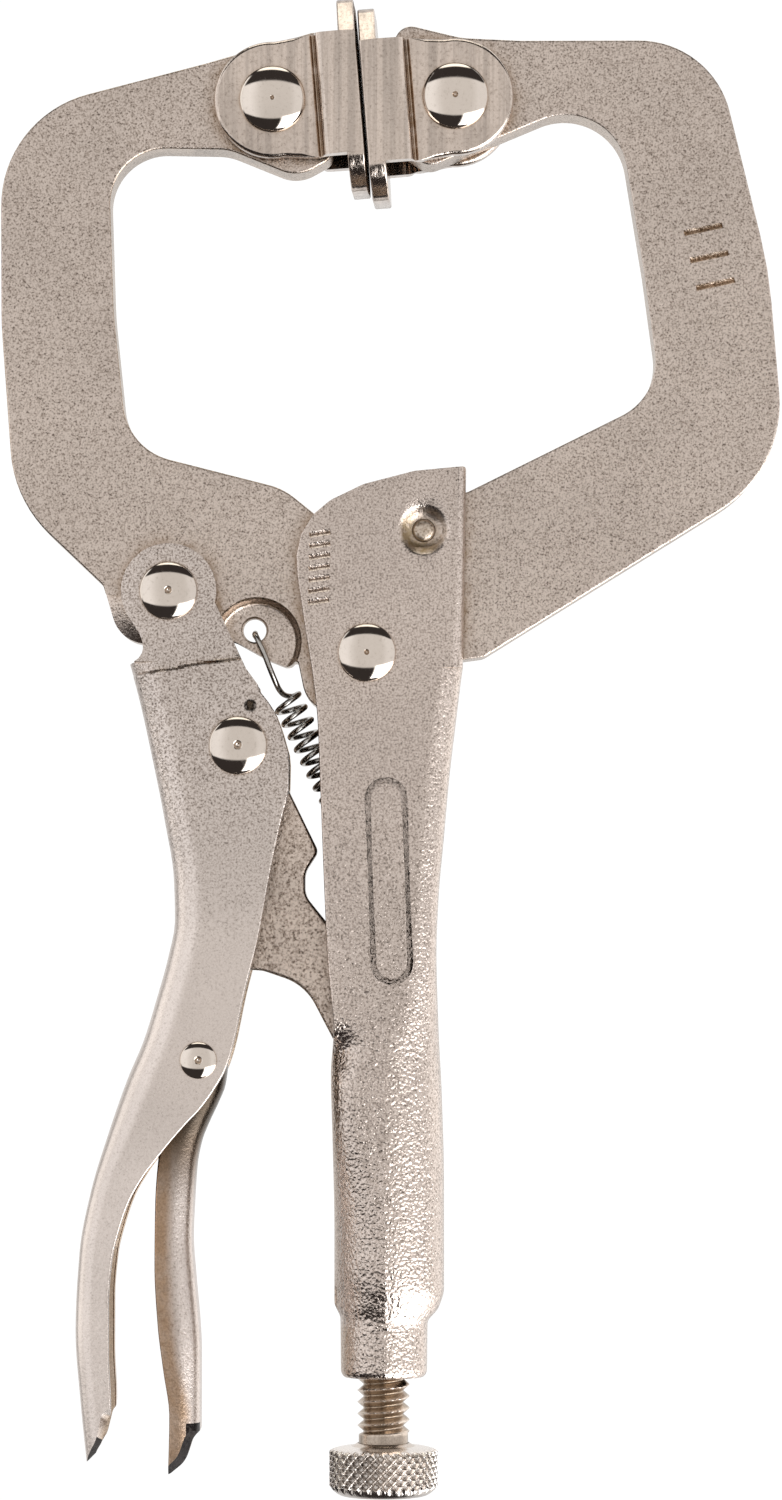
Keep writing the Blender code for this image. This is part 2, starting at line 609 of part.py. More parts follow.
# ---- return spring: coil with a hook at each end ----
WIRE_R = 0.26
WIRE_FACETS = 5
COIL_R = 1.22          # mean radius
COIL_START, COIL_END = (-7.3, 0, -4.06), (-1.2, 0, -16.6)
COIL_STEPS = 9         # per turn
COIL_TURNS = 10.75     # rounded down to a whole step


def sweep(name, path, radius):
    """Round wire along a polyline, with frames carried along it."""
    points = [Vector(p) for p in path]
    rings = []
    across = Vector((0.2, 1.0, 0.1))
    for i, point in enumerate(points):
        tangent = (points[min(i + 1, len(points) - 1)] - points[max(i - 1, 0)]).normalized()
        across = (across - tangent * across.dot(tangent)).normalized()
        other = tangent.cross(across)
        rings.append([
            tuple(point + (across * x + other * y) * radius)
            for x, y in circle(0.0, 0.0, 1.0, WIRE_FACETS)
        ])
    return loft(name, rings)


def spring_path():
    hole_x, hole_z = SPRING_HOLE
    tab_x, tab_z = SPRING_TAB
    jaw_hook = [
        (hole_x, 0.9, hole_z - 0.25), (hole_x, -1.0, hole_z - 0.25),
        (hole_x + 0.12, -1.55, hole_z - 0.5), (hole_x + 0.45, -1.75, hole_z - 1.1),
        (-8.75, -1.7, -1.3), (-8.15, -1.2, -2.75), (-7.75, 0.0, -3.4), (-7.0, 0.8, -3.65),
    ]
    tab_hook = [
        (-0.2, -1.3, -17.6), (tab_x - 0.3, -1.25, tab_z + 0.4), (tab_x, -1.2, tab_z - 0.5),
        (tab_x, -0.75, tab_z - 1.0), (tab_x, 0.0, tab_z - 1.15), (tab_x, 0.75, tab_z - 1.0),
        (tab_x, 1.2, tab_z - 0.4), (tab_x, 1.25, tab_z + 0.5),
    ]
    start = Vector(COIL_START)
    run = Vector(COIL_END) - start
    axis = run.normalized()
    side = Vector((0, -1, 0))
    other = axis.cross(side)
    count = int(COIL_STEPS * COIL_TURNS)
    coil = []
    for i in range(count + 1):
        angle = 2 * math.pi * i / COIL_STEPS - math.pi / 2
        offset = (side * math.cos(angle) + other * math.sin(angle)) * COIL_R
        coil.append(start + axis * (run.length * i / count) + offset)
    return jaw_hook + coil + tab_hook


def build_spring():
    finish(sweep("return_spring", spring_path(), WIRE_R), STEEL, roughness=0.3)


def stand_on_screw():
    """Moves the pieces so the lowest point is at z = 0 and the box is centred in X."""
    bpy.context.view_layer.update()
    pieces = [obj for obj in bpy.context.scene.objects if obj.type == "MESH"]
    points = [obj.matrix_world @ v.co for obj in pieces for v in obj.data.vertices]
    middle = (min(p.x for p in points) + max(p.x for p in points)) / 2
    lowest = min(p.z for p in points)
    for obj in pieces:
        obj.location.x -= middle
        obj.location.z -= lowest
    bpy.context.view_layer.update()


build_movable_jaw()
build_fixed_jaw()
build_handle()
build_weld_plug("weld_plug_front", -1)
build_weld_plug("weld_plug_back", 1)
build_lever()
build_link()
build_release_lever()
for rivet in RIVETS:
    build_rivet(*rivet)
build_pad("left_pad", PAD_PIN_L, 1)
build_pad("right_pad", PAD_PIN_R, -1)
build_screw()
build_knob()
build_spring()
stand_on_screw()
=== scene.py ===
"""Looks of a locking C clamp: fine surfaces, nickel plate and studio light.

The clamp stands upright in the XZ plane with its jaws up and its thumb screw down. Its plates
face +Y and -Y; the camera looks along +Y, so front is -Y and right is +X. Sizes are in mm.
"""

from math import acos, atan2, ceil, cos, exp, hypot, pi, radians, sin, sqrt, tan, tau

import bmesh
import bpy
from mathutils import Matrix, Vector


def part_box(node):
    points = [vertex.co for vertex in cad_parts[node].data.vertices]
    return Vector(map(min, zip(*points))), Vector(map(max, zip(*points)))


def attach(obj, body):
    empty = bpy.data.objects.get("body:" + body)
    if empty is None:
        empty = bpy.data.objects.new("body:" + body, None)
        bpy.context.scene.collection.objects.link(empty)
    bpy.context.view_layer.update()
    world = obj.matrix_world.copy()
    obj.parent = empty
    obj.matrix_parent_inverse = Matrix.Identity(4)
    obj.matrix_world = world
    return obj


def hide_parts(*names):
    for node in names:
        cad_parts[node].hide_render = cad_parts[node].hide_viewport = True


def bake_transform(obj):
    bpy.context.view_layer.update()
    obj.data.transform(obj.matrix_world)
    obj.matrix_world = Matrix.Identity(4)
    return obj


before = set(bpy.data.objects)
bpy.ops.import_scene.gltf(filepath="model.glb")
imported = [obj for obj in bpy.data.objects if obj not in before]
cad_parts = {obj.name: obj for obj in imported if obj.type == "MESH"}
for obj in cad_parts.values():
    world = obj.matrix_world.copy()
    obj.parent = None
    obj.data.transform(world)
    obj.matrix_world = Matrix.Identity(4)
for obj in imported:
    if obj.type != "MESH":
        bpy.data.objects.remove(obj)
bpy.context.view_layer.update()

MM = 0.001

# ---- driving dimensions ----
JAW_T = 4.8
LINK_T = 4.2
SHEET = 1.5
CHEEK_OUT = 4.2  # outer face of the handle's cheeks and the pads' ears, from the middle plane
SOCKET_WALL = 1.2
SCREW_R = 2.4
SCREW_PITCH = 1.058
THREAD_DEPTH = 0.55
SCREW_X = 1.5
KNOB_R = 4.93
KNOB_TOP, KNOB_BOTTOM = -71.7, -76.1
SCREW_TIP = -40.75
PAD_HALF = 8.8
PAD_REACH = 8.11
PAD_TILT = 4.6  # degrees
WIRE_R = 0.26
COIL_R = 1.22
PIN_HOLE_R = 2.0
RELEASE_HOLE_R = 1.4

# ---- places (x, z) from the main pivot ----
PIVOT = (0.0, 0.0)
LEVER_PIN = (-17.9, 5.6)
LINK_PIN = (-11.6, -8.4)
RELEASE_PIN = (-15.1, -36.7)
PAD_PIN_L = (-8.55, 50.2)
PAD_PIN_R = (8.0, 50.5)
SPRING_HOLE = (-10.2, 2.2)
SPRING_TAB = (1.5, -18.9)
WELD = (5.15, 11.1)

# pieces are drawn round the main pivot, and ORIGIN carries them to where it stands in the frame
pivot_low, pivot_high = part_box("main_pivot_rivet")
ORIGIN = Vector(((pivot_low[0] + pivot_high[0]) / 2, 0.0, (pivot_low[2] + pivot_high[2]) / 2))

ARC_STEP = radians(5)


# =====================================================================
# shape helpers
# =====================================================================
def smooth01(t):
    t = max(0.0, min(1.0, t))
    return t * t * (3 - 2 * t)


def steps(start, end, step):
    count = round((end - start) / step)
    return [start + (end - start) * i / count for i in range(count + 1)]


def mesh_object(name, verts, faces):
    mesh = bpy.data.meshes.new(name)
    mesh.from_pydata([Vector(v) * MM for v in verts], [], faces)
    bm = bmesh.new()
    bm.from_mesh(mesh)
    bmesh.ops.recalc_face_normals(bm, faces=bm.faces)
    if bm.calc_volume(signed=True) < 0:
        bmesh.ops.reverse_faces(bm, faces=bm.faces)
    bm.to_mesh(mesh)
    bm.free()
    obj = bpy.data.objects.new(name, mesh)
    bpy.context.scene.collection.objects.link(obj)
    return obj


def arc(x, z, radius, start, end, count):
    return [
        (x + radius * cos(start + (end - start) * i / count),
         z + radius * sin(start + (end - start) * i / count))
        for i in range(count + 1)
    ]


def fillet(corners, step=ARC_STEP):
    """Closed outline through corners (x, z, radius), each rounded to its radius."""
    outline = []
    count = len(corners)
    for i in range(count):
        before, tip, after = (Vector(corners[(i + k) % count][:2]) for k in (-1, 0, 1))
        radius = corners[i][2]
        back, ahead = before - tip, after - tip
        back_len, ahead_len = back.length, ahead.length
        back, ahead = back / back_len, ahead / ahead_len
        angle = acos(max(-1.0, min(1.0, back.dot(ahead))))
        if radius <= 0 or angle > pi - 0.03:
            outline.append((tip.x, tip.y))
            continue
        trim = min(radius / tan(angle / 2), 0.49 * back_len, 0.49 * ahead_len)
        radius = trim * tan(angle / 2)
        centre = tip + (back + ahead).normalized() * (radius / sin(angle / 2))
        start, end = tip + back * trim, tip + ahead * trim
        start_angle = atan2(start.y - centre.y, start.x - centre.x)
        end_angle = atan2(end.y - centre.y, end.x - centre.x)
        turn = (end_angle - start_angle + pi) % (2 * pi) - pi
        parts = max(2, int(ceil(abs(turn) / step)))
        outline += [
            (centre.x + radius * cos(start_angle + turn * j / parts),
             centre.y + radius * sin(start_angle + turn * j / parts))
            for j in range(parts + 1)
        ]
    return outline


def loft(name, rings):
    """Closed skin over rings of equal count."""
    count = len(rings[0])
    verts = [v for ring in rings for v in ring]
    faces = [list(range(count)), [len(verts) - 1 - i for i in range(count)]]
    for k in range(len(rings) - 1):
        here, ahead = k * count, (k + 1) * count
        faces += [
            [here + i, here + (i + 1) % count, ahead + (i + 1) % count, ahead + i]
            for i in range(count)
        ]
    return mesh_object(name, verts, faces)


def prism(name, outline, y0, y1):
    return loft(name, [[(x, y, z) for x, z in outline] for y in (y0, y1)])


def turned(name, profile, at=(0, 0), count=96, side=1, axis="Y"):
    """Solid of revolution about an axis through at (x, z), from (radius, station) pairs.

    The profile starts and ends on the axis. side -1 mirrors the stations.
    """
    verts, rings = [], []
    for radius, station in profile:
        first = len(verts)
        station *= side
        if radius <= 0:
            verts.append((0.0, station, 0.0))
        else:
            verts += [
                (radius * cos(tau * i / count), station, radius * sin(tau * i / count))
                for i in range(count)
            ]
        rings.append(range(first, len(verts)))
    faces = []
    for a, b in zip(rings, rings[1:]):
        for i in range(count):
            j = (i + 1) % count
            if len(a) == 1:
                faces.append([a[0], b[i], b[j]])
            elif len(b) == 1:
                faces.append([a[i], b[0], a[j]])
            else:
                faces.append([a[i], b[i], b[j], a[j]])
    if axis == "Z":
        verts = [(x, z, y) for x, y, z in verts]
    return mesh_object(name, [(x + at[0], y, z + at[1]) for x, y, z in verts], faces)


def apply_mods(obj):
    bpy.context.view_layer.update()
    depsgraph = bpy.context.evaluated_depsgraph_get()
    mesh = bpy.data.meshes.new_from_object(obj.evaluated_get(depsgraph))
    obj.modifiers.clear()
    obj.data = mesh
    mesh.name = obj.name


def boolean(obj, cutter, how="DIFFERENCE"):
    mod = obj.modifiers.new("cut", "BOOLEAN")
    mod.operation = how
    mod.solver = "EXACT"
    mod.object = cutter
    apply_mods(obj)
    bpy.data.objects.remove(cutter, do_unlink=True)


def cut_through(obj, outline):
    boolean(obj, prism("cutter", outline, -9, 9))


def drill(obj, *pins, radius=PIN_HOLE_R):
    for x, z in pins:
        boolean(obj, prism("cutter", arc(x, z, radius, 0, tau, 64)[:-1], -12.0, 12.0))


def groove(obj, start, end, width, y_face, depth):
    """Straight V groove from start to end (x, z) in a face at y_face that looks to -Y."""
    along = (Vector(end) - Vector(start)).normalized()
    across = Vector((-along.y, along.x)) * (width / 2)
    section = [(-1, y_face - 2), (1, y_face - 2), (1, y_face), (0, y_face + depth), (-1, y_face)]
    rings = [
        [(p.x + across.x * k, y, p.y + across.y * k) for k, y in section]
        for p in (Vector(start), Vector(end))
    ]
    boolean(obj, loft("cutter", rings))


def bevel(obj, width, segments=3, angle=38):
    mod = obj.modifiers.new("bevel", "BEVEL")
    mod.width = width * MM
    mod.segments = segments
    mod.limit_method = "ANGLE"
    mod.angle_limit = radians(angle)
    mod.use_clamp_overlap = True
    mod.miter_outer = "MITER_ARC"
    apply_mods(obj)


def round_cut_edges(obj, width, test, segments=3, clamp=True):
    """Rounds the edges where a flat cheek meets a cut wall, as a blanked sheet's edge is."""
    bm = bmesh.new()
    bm.from_mesh(obj.data)
    bmesh.ops.remove_doubles(bm, verts=bm.verts, dist=1.2e-5)
    bmesh.ops.dissolve_degenerate(bm, dist=1e-6, edges=bm.edges)
    picked = []
    for edge in bm.edges:
        if len(edge.link_faces) != 2:
            continue
        wall, flat = sorted((f.normal for f in edge.link_faces), key=lambda n: abs(n.y))
        middle = (edge.verts[0].co + edge.verts[1].co) / (2 * MM)
        if abs(flat.y) > 0.93 and abs(wall.y) < 0.3 and test(middle):
            picked.append(edge)
    bmesh.ops.bevel(bm, geom=picked, offset=width * MM, segments=segments, profile=0.5,
                    affect="EDGES", clamp_overlap=clamp)
    bm.to_mesh(obj.data)
    bm.free()


def reshape(obj, move):
    """Moves every point to move(x, y, z), in mm."""
    for v in obj.data.vertices:
        v.co = Vector(move(*(c / MM for c in v.co))) * MM


def value_at(rows, z):
    """Smooth value at z from (z, value) rows sorted from low z to high z."""
    if z <= rows[0][0]:
        return rows[0][1]
    if z >= rows[-1][0]:
        return rows[-1][1]
    last = len(rows) - 1
    for i in range(last):
        if rows[i][0] <= z <= rows[i + 1][0]:
            break

    def chord(j, k):
        return (rows[k][1] - rows[j][1]) / (rows[k][0] - rows[j][0])

    def slope(j):
        if j <= 0 or j >= last:
            return chord(max(j - 1, 0), min(j + 1, last))
        before, after = chord(j - 1, j), chord(j, j + 1)
        return 0.0 if before * after <= 0 else 2 * before * after / (before + after)

    span = rows[i + 1][0] - rows[i][0]
    t = (z - rows[i][0]) / span
    return (
        rows[i][1] * (1 + 2 * t) * (1 - t) ** 2
        + slope(i) * span * t * (1 - t) ** 2
        + rows[i + 1][1] * t * t * (3 - 2 * t)
        + slope(i + 1) * span * t * t * (t - 1)
    )


def channel_ring(z, mouth, spine, half_width, bend, sheet, corner_parts, flat_parts,
                 shut=0.0, lip=1.0, gap=0.35):
    """Folded-sheet section at height z, open at x = mouth and closed at x = spine.

    bend is the outer radius at the spine. shut, 0 to 1, curls the lips in with radius lip
    until they stand gap from the middle plane.
    """
    way = 1.0 if spine > mouth else -1.0
    rim = 0.18
    quarter = pi / 2
    outward = pi if way > 0 else 0
    sideways = 3 * quarter if way > 0 else -quarter

    def half(spine_x, half_y, bend_r, curl_r, inner):
        sign = -1 if inner else 1
        edge_y = -half_y + sign * rim
        opened = [(mouth, edge_y + sign * 0.05)] + arc(
            mouth + way * rim, edge_y, rim, outward, quarter if inner else sideways, corner_parts)
        curl_x = mouth + (way * sheet if inner else 0)
        curled = [(curl_x, -gap)] + arc(
            curl_x + way * curl_r, -half_y + curl_r, curl_r, outward, sideways, corner_parts)
        points = [
            (a[0] * (1 - shut) + b[0] * shut, a[1] * (1 - shut) + b[1] * shut)
            for a, b in zip(opened, curled)
        ]
        corner = arc(spine_x - way * bend_r, -half_y + bend_r, bend_r,
                     -quarter, 0 if way > 0 else -pi, corner_parts)
        a, b = points[-1], corner[0]
        parts = flat_parts + 1
        flat = [
            (a[0] + (b[0] - a[0]) * k / parts, a[1] + (b[1] - a[1]) * k / parts)
            for k in range(1, parts)
        ]
        points = points + flat + corner
        return points + [(x, -y) for x, y in reversed(points)]

    outer = half(spine, half_width, min(bend, half_width - 0.05),
                 min(lip, half_width - gap - 0.1), False)
    inside = half_width - sheet
    inner = half(spine - way * sheet, inside, max(0.12, min(bend - sheet, inside - 0.05)),
                 max(0.1, min(lip - sheet, inside - gap - 0.1)), True)
    return [(x, y, z) for x, y in outer + inner[::-1]]


# =====================================================================
# materials
# =====================================================================
class Nodes:
    """Short calls that add and link shader nodes."""

    def __init__(self, tree):
        self.tree = tree

    def add(self, kind, **props):
        node = self.tree.nodes.new(kind)
        for key, value in props.items():
            setattr(node, key, value)
        return node

    def put(self, socket, value):
        if isinstance(value, bpy.types.NodeSocket):
            self.tree.links.new(value, socket)
        else:
            socket.default_value = value

    def math(self, operation, a, b=None, clamp=False):
        node = self.add("ShaderNodeMath", operation=operation, use_clamp=clamp)
        self.put(node.inputs[0], a)
        if b is not None:
            self.put(node.inputs[1], b)
        return node.outputs[0]

    def times(self, a, b):
        return self.math("MULTIPLY", a, b)

    def ramp(self, value, span, gives=(0.0, 1.0)):
        """Smooth step: gives[0] below span[0], gives[1] above span[1]."""
        node = self.add("ShaderNodeMapRange", interpolation_type="SMOOTHSTEP", clamp=True)
        self.put(node.inputs["Value"], value)
        node.inputs["From Min"].default_value, node.inputs["From Max"].default_value = span
        node.inputs["To Min"].default_value, node.inputs["To Max"].default_value = gives
        return node.outputs["Result"]

    def mix(self, factor, a, b, mode="MIX"):
        node = self.add("ShaderNodeMix", data_type="RGBA", blend_type=mode)
        self.put(node.inputs[0], factor)
        for socket, value in ((node.inputs[6], a), (node.inputs[7], b)):
            self.put(socket, (*value, 1.0) if isinstance(value, tuple) else value)
        return node.outputs[2]

    def darken(self, colour, grey):
        """Multiplies a colour by a grey value."""
        node = self.add("ShaderNodeCombineXYZ")
        for socket in node.inputs:
            self.put(socket, grey)
        return self.mix(1.0, colour, node.outputs[0], "MULTIPLY")

    def split(self, vector):
        node = self.add("ShaderNodeSeparateXYZ")
        self.put(node.inputs[0], vector)
        return node.outputs

    def noise(self, place, scale, detail=2.0, rough=0.5):
        node = self.add("ShaderNodeTexNoise")
        self.put(node.inputs["Vector"], place)
        node.inputs["Scale"].default_value = scale
        node.inputs["Detail"].default_value = detail
        node.inputs["Roughness"].default_value = rough
        return node.outputs["Fac"]

    def cells(self, place, scale):
        node = self.add("ShaderNodeTexVoronoi", feature="SMOOTH_F1")
        self.put(node.inputs["Vector"], place)
        node.inputs["Scale"].default_value = scale
        return node.outputs["Distance"]

    def lines(self, place, scales, detail, rough):
        """Noise stretched by a scale for each axis."""
        node = self.add("ShaderNodeMapping")
        self.put(node.inputs["Vector"], place)
        node.inputs["Scale"].default_value = scales
        return self.noise(node.outputs[0], 1.0, detail, rough)

    def attribute(self, name):
        return self.add("ShaderNodeAttribute", attribute_name=name,
                        attribute_type="GEOMETRY").outputs["Fac"]


def stain_and_shade_spot(nodes, place, x, z, stain_and_shade):
    """Masks of a round spot (x, z, radius in mm), used for a scorch mark and for painted shade in
    a pocket: its mottled strength and its plain disc.
    """
    spot_x, spot_z, radius = (v * MM for v in stain_and_shade)
    off_x = nodes.math("SUBTRACT", x, spot_x)
    off_z = nodes.math("SUBTRACT", z, spot_z)
    squares = nodes.math("ADD", nodes.times(off_x, off_x), nodes.times(off_z, off_z))
    disc = nodes.ramp(nodes.math("SQRT", squares), span=(radius * 0.80, radius * 1.04),
                      gives=(1.0, 0.0))
    lean = 1.0  # a large stain fades to the upper right
    if radius > MM:
        lean = nodes.ramp(nodes.math("ADD", off_x, off_z), span=(-radius * 1.1, radius * 0.9),
                          gives=(1.0, 0.25))
    mottle = nodes.ramp(nodes.noise(place, scale=1500.0, detail=3.0, rough=0.7),
                        span=(0.36, 0.60), gives=(0.45, 1.0))
    return nodes.times(nodes.times(disc, lean), mottle), disc


def metal(name, base, shade, rough, grain, grain_mm, speck, grime_and_shade, peel=None, streak_relief_and_shade=0.0,
          brown=(0.30, 0.19, 0.10), scratches=0.0, rough_var=0.08, cloud=0.05, stain_and_shade=None,
          calm=None, tint_and_shade=None, near_mm=1.1, stain_and_shade_rgb=(0.36, 0.27, 0.15)):
    """Plated metal.

    base and shade are the light and dark tones of its grain, speck their contrast. peel is
    (strength, mm, low z, high z) of the lumpy skin of drawn sheet, strongest below low z.
    grime tints crevices within near_mm brown: dirt, and painted shade where parts meet and crowd
    each other.
    stain is (x, z, radius) of a spot: a scorch mark on one piece, painted shade in a small pocket
    on another. calm is (low z, high z), the grain fading out below. tint colours where the mesh
    says so: heat colour and a brown inside the lever's channel, and painted shade on the handle's
    tube, in the screw's thread roots and on the release lever's top. The mesh's shade attribute
    paints shade towards black. streak adds raised lines and bands of painted shade and highlight.
    """
    material = bpy.data.materials.new(name)
    material.use_nodes = True
    nodes = Nodes(material.node_tree)
    times, ramp, noise = nodes.times, nodes.ramp, nodes.noise
    bsdf = material.node_tree.nodes["Principled BSDF"]
    place = nodes.add("ShaderNodeTexCoord").outputs["Object"]
    if stain_and_shade or peel or calm:
        x, _, z = nodes.split(place)
    frequency = 1000.0 / grain_mm
    fine = noise(place, scale=frequency, detail=2.0, rough=0.6)
    mid = noise(place, scale=frequency / 2.6, detail=2.0, rough=0.55)
    big = noise(place, scale=110.0, detail=3.0, rough=0.5)

    # colour: two tones of grain, dark specks in the pits, broad clouding
    level = ramp(z, span=(calm[0] * MM, calm[1] * MM), gives=(0.2, 1.0)) if calm else 1.0
    tone = ramp(nodes.math("ADD", times(fine, 0.85), times(mid, 0.15)), span=(0.36, 0.60))
    dark_grain = times(nodes.math("SUBTRACT", 1.0, tone), speck)
    colour = nodes.mix(times(dark_grain, level), base, shade)
    pits = ramp(fine, span=(0.31, 0.38), gives=(1.0, 0.0))
    colour = nodes.mix(times(times(pits, speck), level), colour, tuple(c * 0.35 for c in shade))
    clouds = ramp(big, span=(0.35, 0.65), gives=(1.0 - cloud, 1.0 + cloud * 0.4))
    colour = nodes.darken(colour, clouds)

    # brown in the crevices: dirt, and painted shade where parts meet and crowd each other
    shelter = nodes.add("ShaderNodeAmbientOcclusion", samples=6)
    shelter.inputs["Distance"].default_value = near_mm * MM
    near = ramp(shelter.outputs["AO"], span=(0.35, 0.90), gives=(1.0, 0.0))
    patchy = ramp(noise(place, scale=700.0, detail=3.0, rough=0.6),
                  span=(0.30, 0.62), gives=(0.25, 1.0))
    colour = nodes.mix(times(times(near, patchy), grime_and_shade), colour, brown)

    # bands of painted shade and highlight, standing in for the shading across the pad shoulders'
    # curves
    if streak_relief_and_shade > 0:
        bands = nodes.lines(place, scales=(1500.0, 700.0, 30.0), detail=3.0, rough=0.65)
        colour = nodes.darken(colour, ramp(bands, span=(0.36, 0.64), gives=(0.80, 1.08)))
    # the tint attribute lays heat colour and brown, and painted shade on some pieces; the shade
    # attribute lays painted shade towards black
    if tint_and_shade:
        mottle = ramp(noise(place, scale=420.0, detail=3.0, rough=0.6),
                      span=(0.25, 0.65), gives=(0.72, 1.0))
        amount = times(nodes.attribute("tint_and_shade"), mottle)
        half_dark = times(nodes.math("SUBTRACT", 1.0, tone), 0.5)
        tinted = nodes.mix(half_dark, tint_and_shade, tuple(c * 0.55 for c in tint_and_shade))
        colour = nodes.mix(amount, colour, tinted)
        colour = nodes.mix(nodes.attribute("shade"), colour, (0.05, 0.04, 0.03))
    # the spot: a scorch mark on the handle, painted shade in the lever's mark
    if stain_and_shade:
        spot_amount, disc = stain_and_shade_spot(nodes, place, x, z, stain_and_shade)
        full = 0.85 if stain_and_shade[2] * MM > MM else 1.0
        colour = nodes.mix(times(spot_amount, full), colour, stain_and_shade_rgb)
    nodes.put(bsdf.inputs["Base Color"], colour)
    bsdf.inputs["Metallic"].default_value = 1.0

    roughness = nodes.math("ADD", rough - rough_var / 2, times(mid, rough_var))
    if stain_and_shade:
        roughness = nodes.math("ADD", roughness, times(disc, 0.12))
    if scratches > 0:
        lines = nodes.lines(place, scales=(2600.0, 2600.0, 160.0), detail=2.0, rough=0.6)
        roughness = nodes.math("ADD", roughness, times(ramp(lines, span=(0.55, 0.75)), scratches))
    nodes.put(bsdf.inputs["Roughness"], roughness)

    # relief, its heights in metres
    height = times(nodes.math("ADD", times(fine, 0.7), times(mid, 0.6)), grain * 0.000016)
    if peel:
        strength, size, low, high = peel
        lump_scale = 1000.0 / size
        warp = noise(place, scale=lump_scale * 0.8, detail=1.0, rough=0.5)
        domes = nodes.math("SUBTRACT", 1.0, nodes.cells(place, lump_scale))
        lumps = nodes.math("ADD", times(domes, 0.7), times(warp, 0.7))
        where = ramp(z, span=(low * MM, high * MM), gives=(1.0, 0.0))
        height = nodes.math("ADD", height, times(times(lumps, where), strength * 0.00005))
    if streak_relief_and_shade > 0:
        lines = nodes.lines(place, scales=(1900.0, 1900.0, 40.0), detail=3.0, rough=0.6)
        height = nodes.math("ADD", height, times(lines, streak_relief_and_shade * 0.00002))
    if calm:
        height = times(height, level)
    bump = nodes.add("ShaderNodeBump")
    bump.inputs["Strength"].default_value = 1.0
    bump.inputs["Distance"].default_value = 1.0
    nodes.put(bump.inputs["Height"], height)
    nodes.put(bsdf.inputs["Normal"], bump.outputs[0])
    return material


# its wide crevice tint is partly painted shade where the pads' ears sit on the jaws
M_JAW = metal(
    "nickel_jaw", base=(0.695, 0.61, 0.55), shade=(0.36, 0.295, 0.25), rough=0.30,
    grain=3.1, grain_mm=0.175, speck=0.88, grime_and_shade=0.85, near_mm=2.4)
M_EDGE = metal(
    "nickel_edge", base=(0.58, 0.48, 0.40), shade=(0.28, 0.21, 0.15), rough=0.27,
    grain=3.4, grain_mm=0.24, speck=0.8, grime_and_shade=0.4, cloud=0.2)
M_LINK = metal(
    "nickel_link", base=(0.68, 0.585, 0.515), shade=(0.30, 0.235, 0.19), rough=0.34,
    grain=3.4, grain_mm=0.22, speck=0.95, grime_and_shade=0.7, cloud=0.15)
M_HANDLE = metal(
    "nickel_handle", base=(0.70, 0.615, 0.56), shade=(0.36, 0.30, 0.26), rough=0.23,
    grain=2.9, grain_mm=0.19, speck=0.84, peel=(2.0, 0.275, -44.0, 8.0), grime_and_shade=0.65,
    tint_and_shade=(0.56, 0.45, 0.36), stain_and_shade=(*WELD, 2.3))
# the near-black spot at the lever's mark is painted shade in its pocket
M_LEVER = metal(
    "nickel_lever", base=(0.72, 0.65, 0.605), shade=(0.32, 0.265, 0.23), rough=0.26,
    grain=2.6, grain_mm=0.19, speck=0.92, peel=(1.1, 0.36, -22.0, 2.0), grime_and_shade=0.65,
    calm=(-32.0, -7.0), tint_and_shade=(0.42, 0.31, 0.21), stain_and_shade=(-10.5, -4.8, 0.62),
    stain_and_shade_rgb=(0.02, 0.016, 0.013))
# its dark crevice tint, reaching 3.2 mm, is painted shade under the lever's cheek
M_RELEASE = metal(
    "nickel_release", base=(0.69, 0.62, 0.58), shade=(0.40, 0.33, 0.28), rough=0.30,
    grain=2.2, grain_mm=0.20, speck=0.45, grime_and_shade=0.95, brown=(0.15, 0.10, 0.06), near_mm=3.2,
    tint_and_shade=(0.40, 0.255, 0.15))
# near-black: painted shade on the slanted cut faces of the lever tips
M_TIP_SHADE = metal(
    "slanted_tip", base=(0.022, 0.019, 0.018), shade=(0.012, 0.01, 0.01), rough=0.34,
    grain=4.5, grain_mm=0.30, speck=0.8, grime_and_shade=0.3)
# bands of painted shade and highlight across the shoulders; its strong crevice tint is painted
# shade in the joggles and folds
M_PAD = metal(
    "nickel_pad", base=(0.645, 0.562, 0.50), shade=(0.38, 0.31, 0.26), rough=0.16,
    grain=0.5, grain_mm=0.24, speck=0.32, streak_relief_and_shade=2.0, grime_and_shade=0.9, scratches=0.14, cloud=0.12)
M_RIVET = metal(
    "rivet_polished", base=(0.69, 0.625, 0.565), shade=(0.56, 0.49, 0.43), rough=0.06,
    grain=0.05, grain_mm=0.30, speck=0.14, grime_and_shade=0.45, rough_var=0.03, scratches=0.05,
    cloud=0.08)
# its crevice tint darkens the thread roots as painted shade
M_SCREW = metal(
    "screw_steel", base=(0.78, 0.69, 0.61), shade=(0.42, 0.34, 0.28), rough=0.24,
    grain=0.25, grain_mm=0.2, speck=0.3, grime_and_shade=0.7, brown=(0.20, 0.145, 0.10), near_mm=0.8,
    tint_and_shade=(0.46, 0.36, 0.27))
M_KNOB = metal(
    "knob_steel", base=(0.95, 0.89, 0.84), shade=(0.66, 0.58, 0.52), rough=0.27,
    grain=0.3, grain_mm=0.2, speck=0.2, grime_and_shade=0.15, brown=(0.20, 0.15, 0.11), near_mm=0.55,
    tint_and_shade=(0.5, 0.4, 0.3))
M_SPRING = metal(
    "spring_wire", base=(0.50, 0.49, 0.47), shade=(0.28, 0.26, 0.24), rough=0.18,
    grain=0.1, grain_mm=0.15, speck=0.3, grime_and_shade=0.3, scratches=0.1)
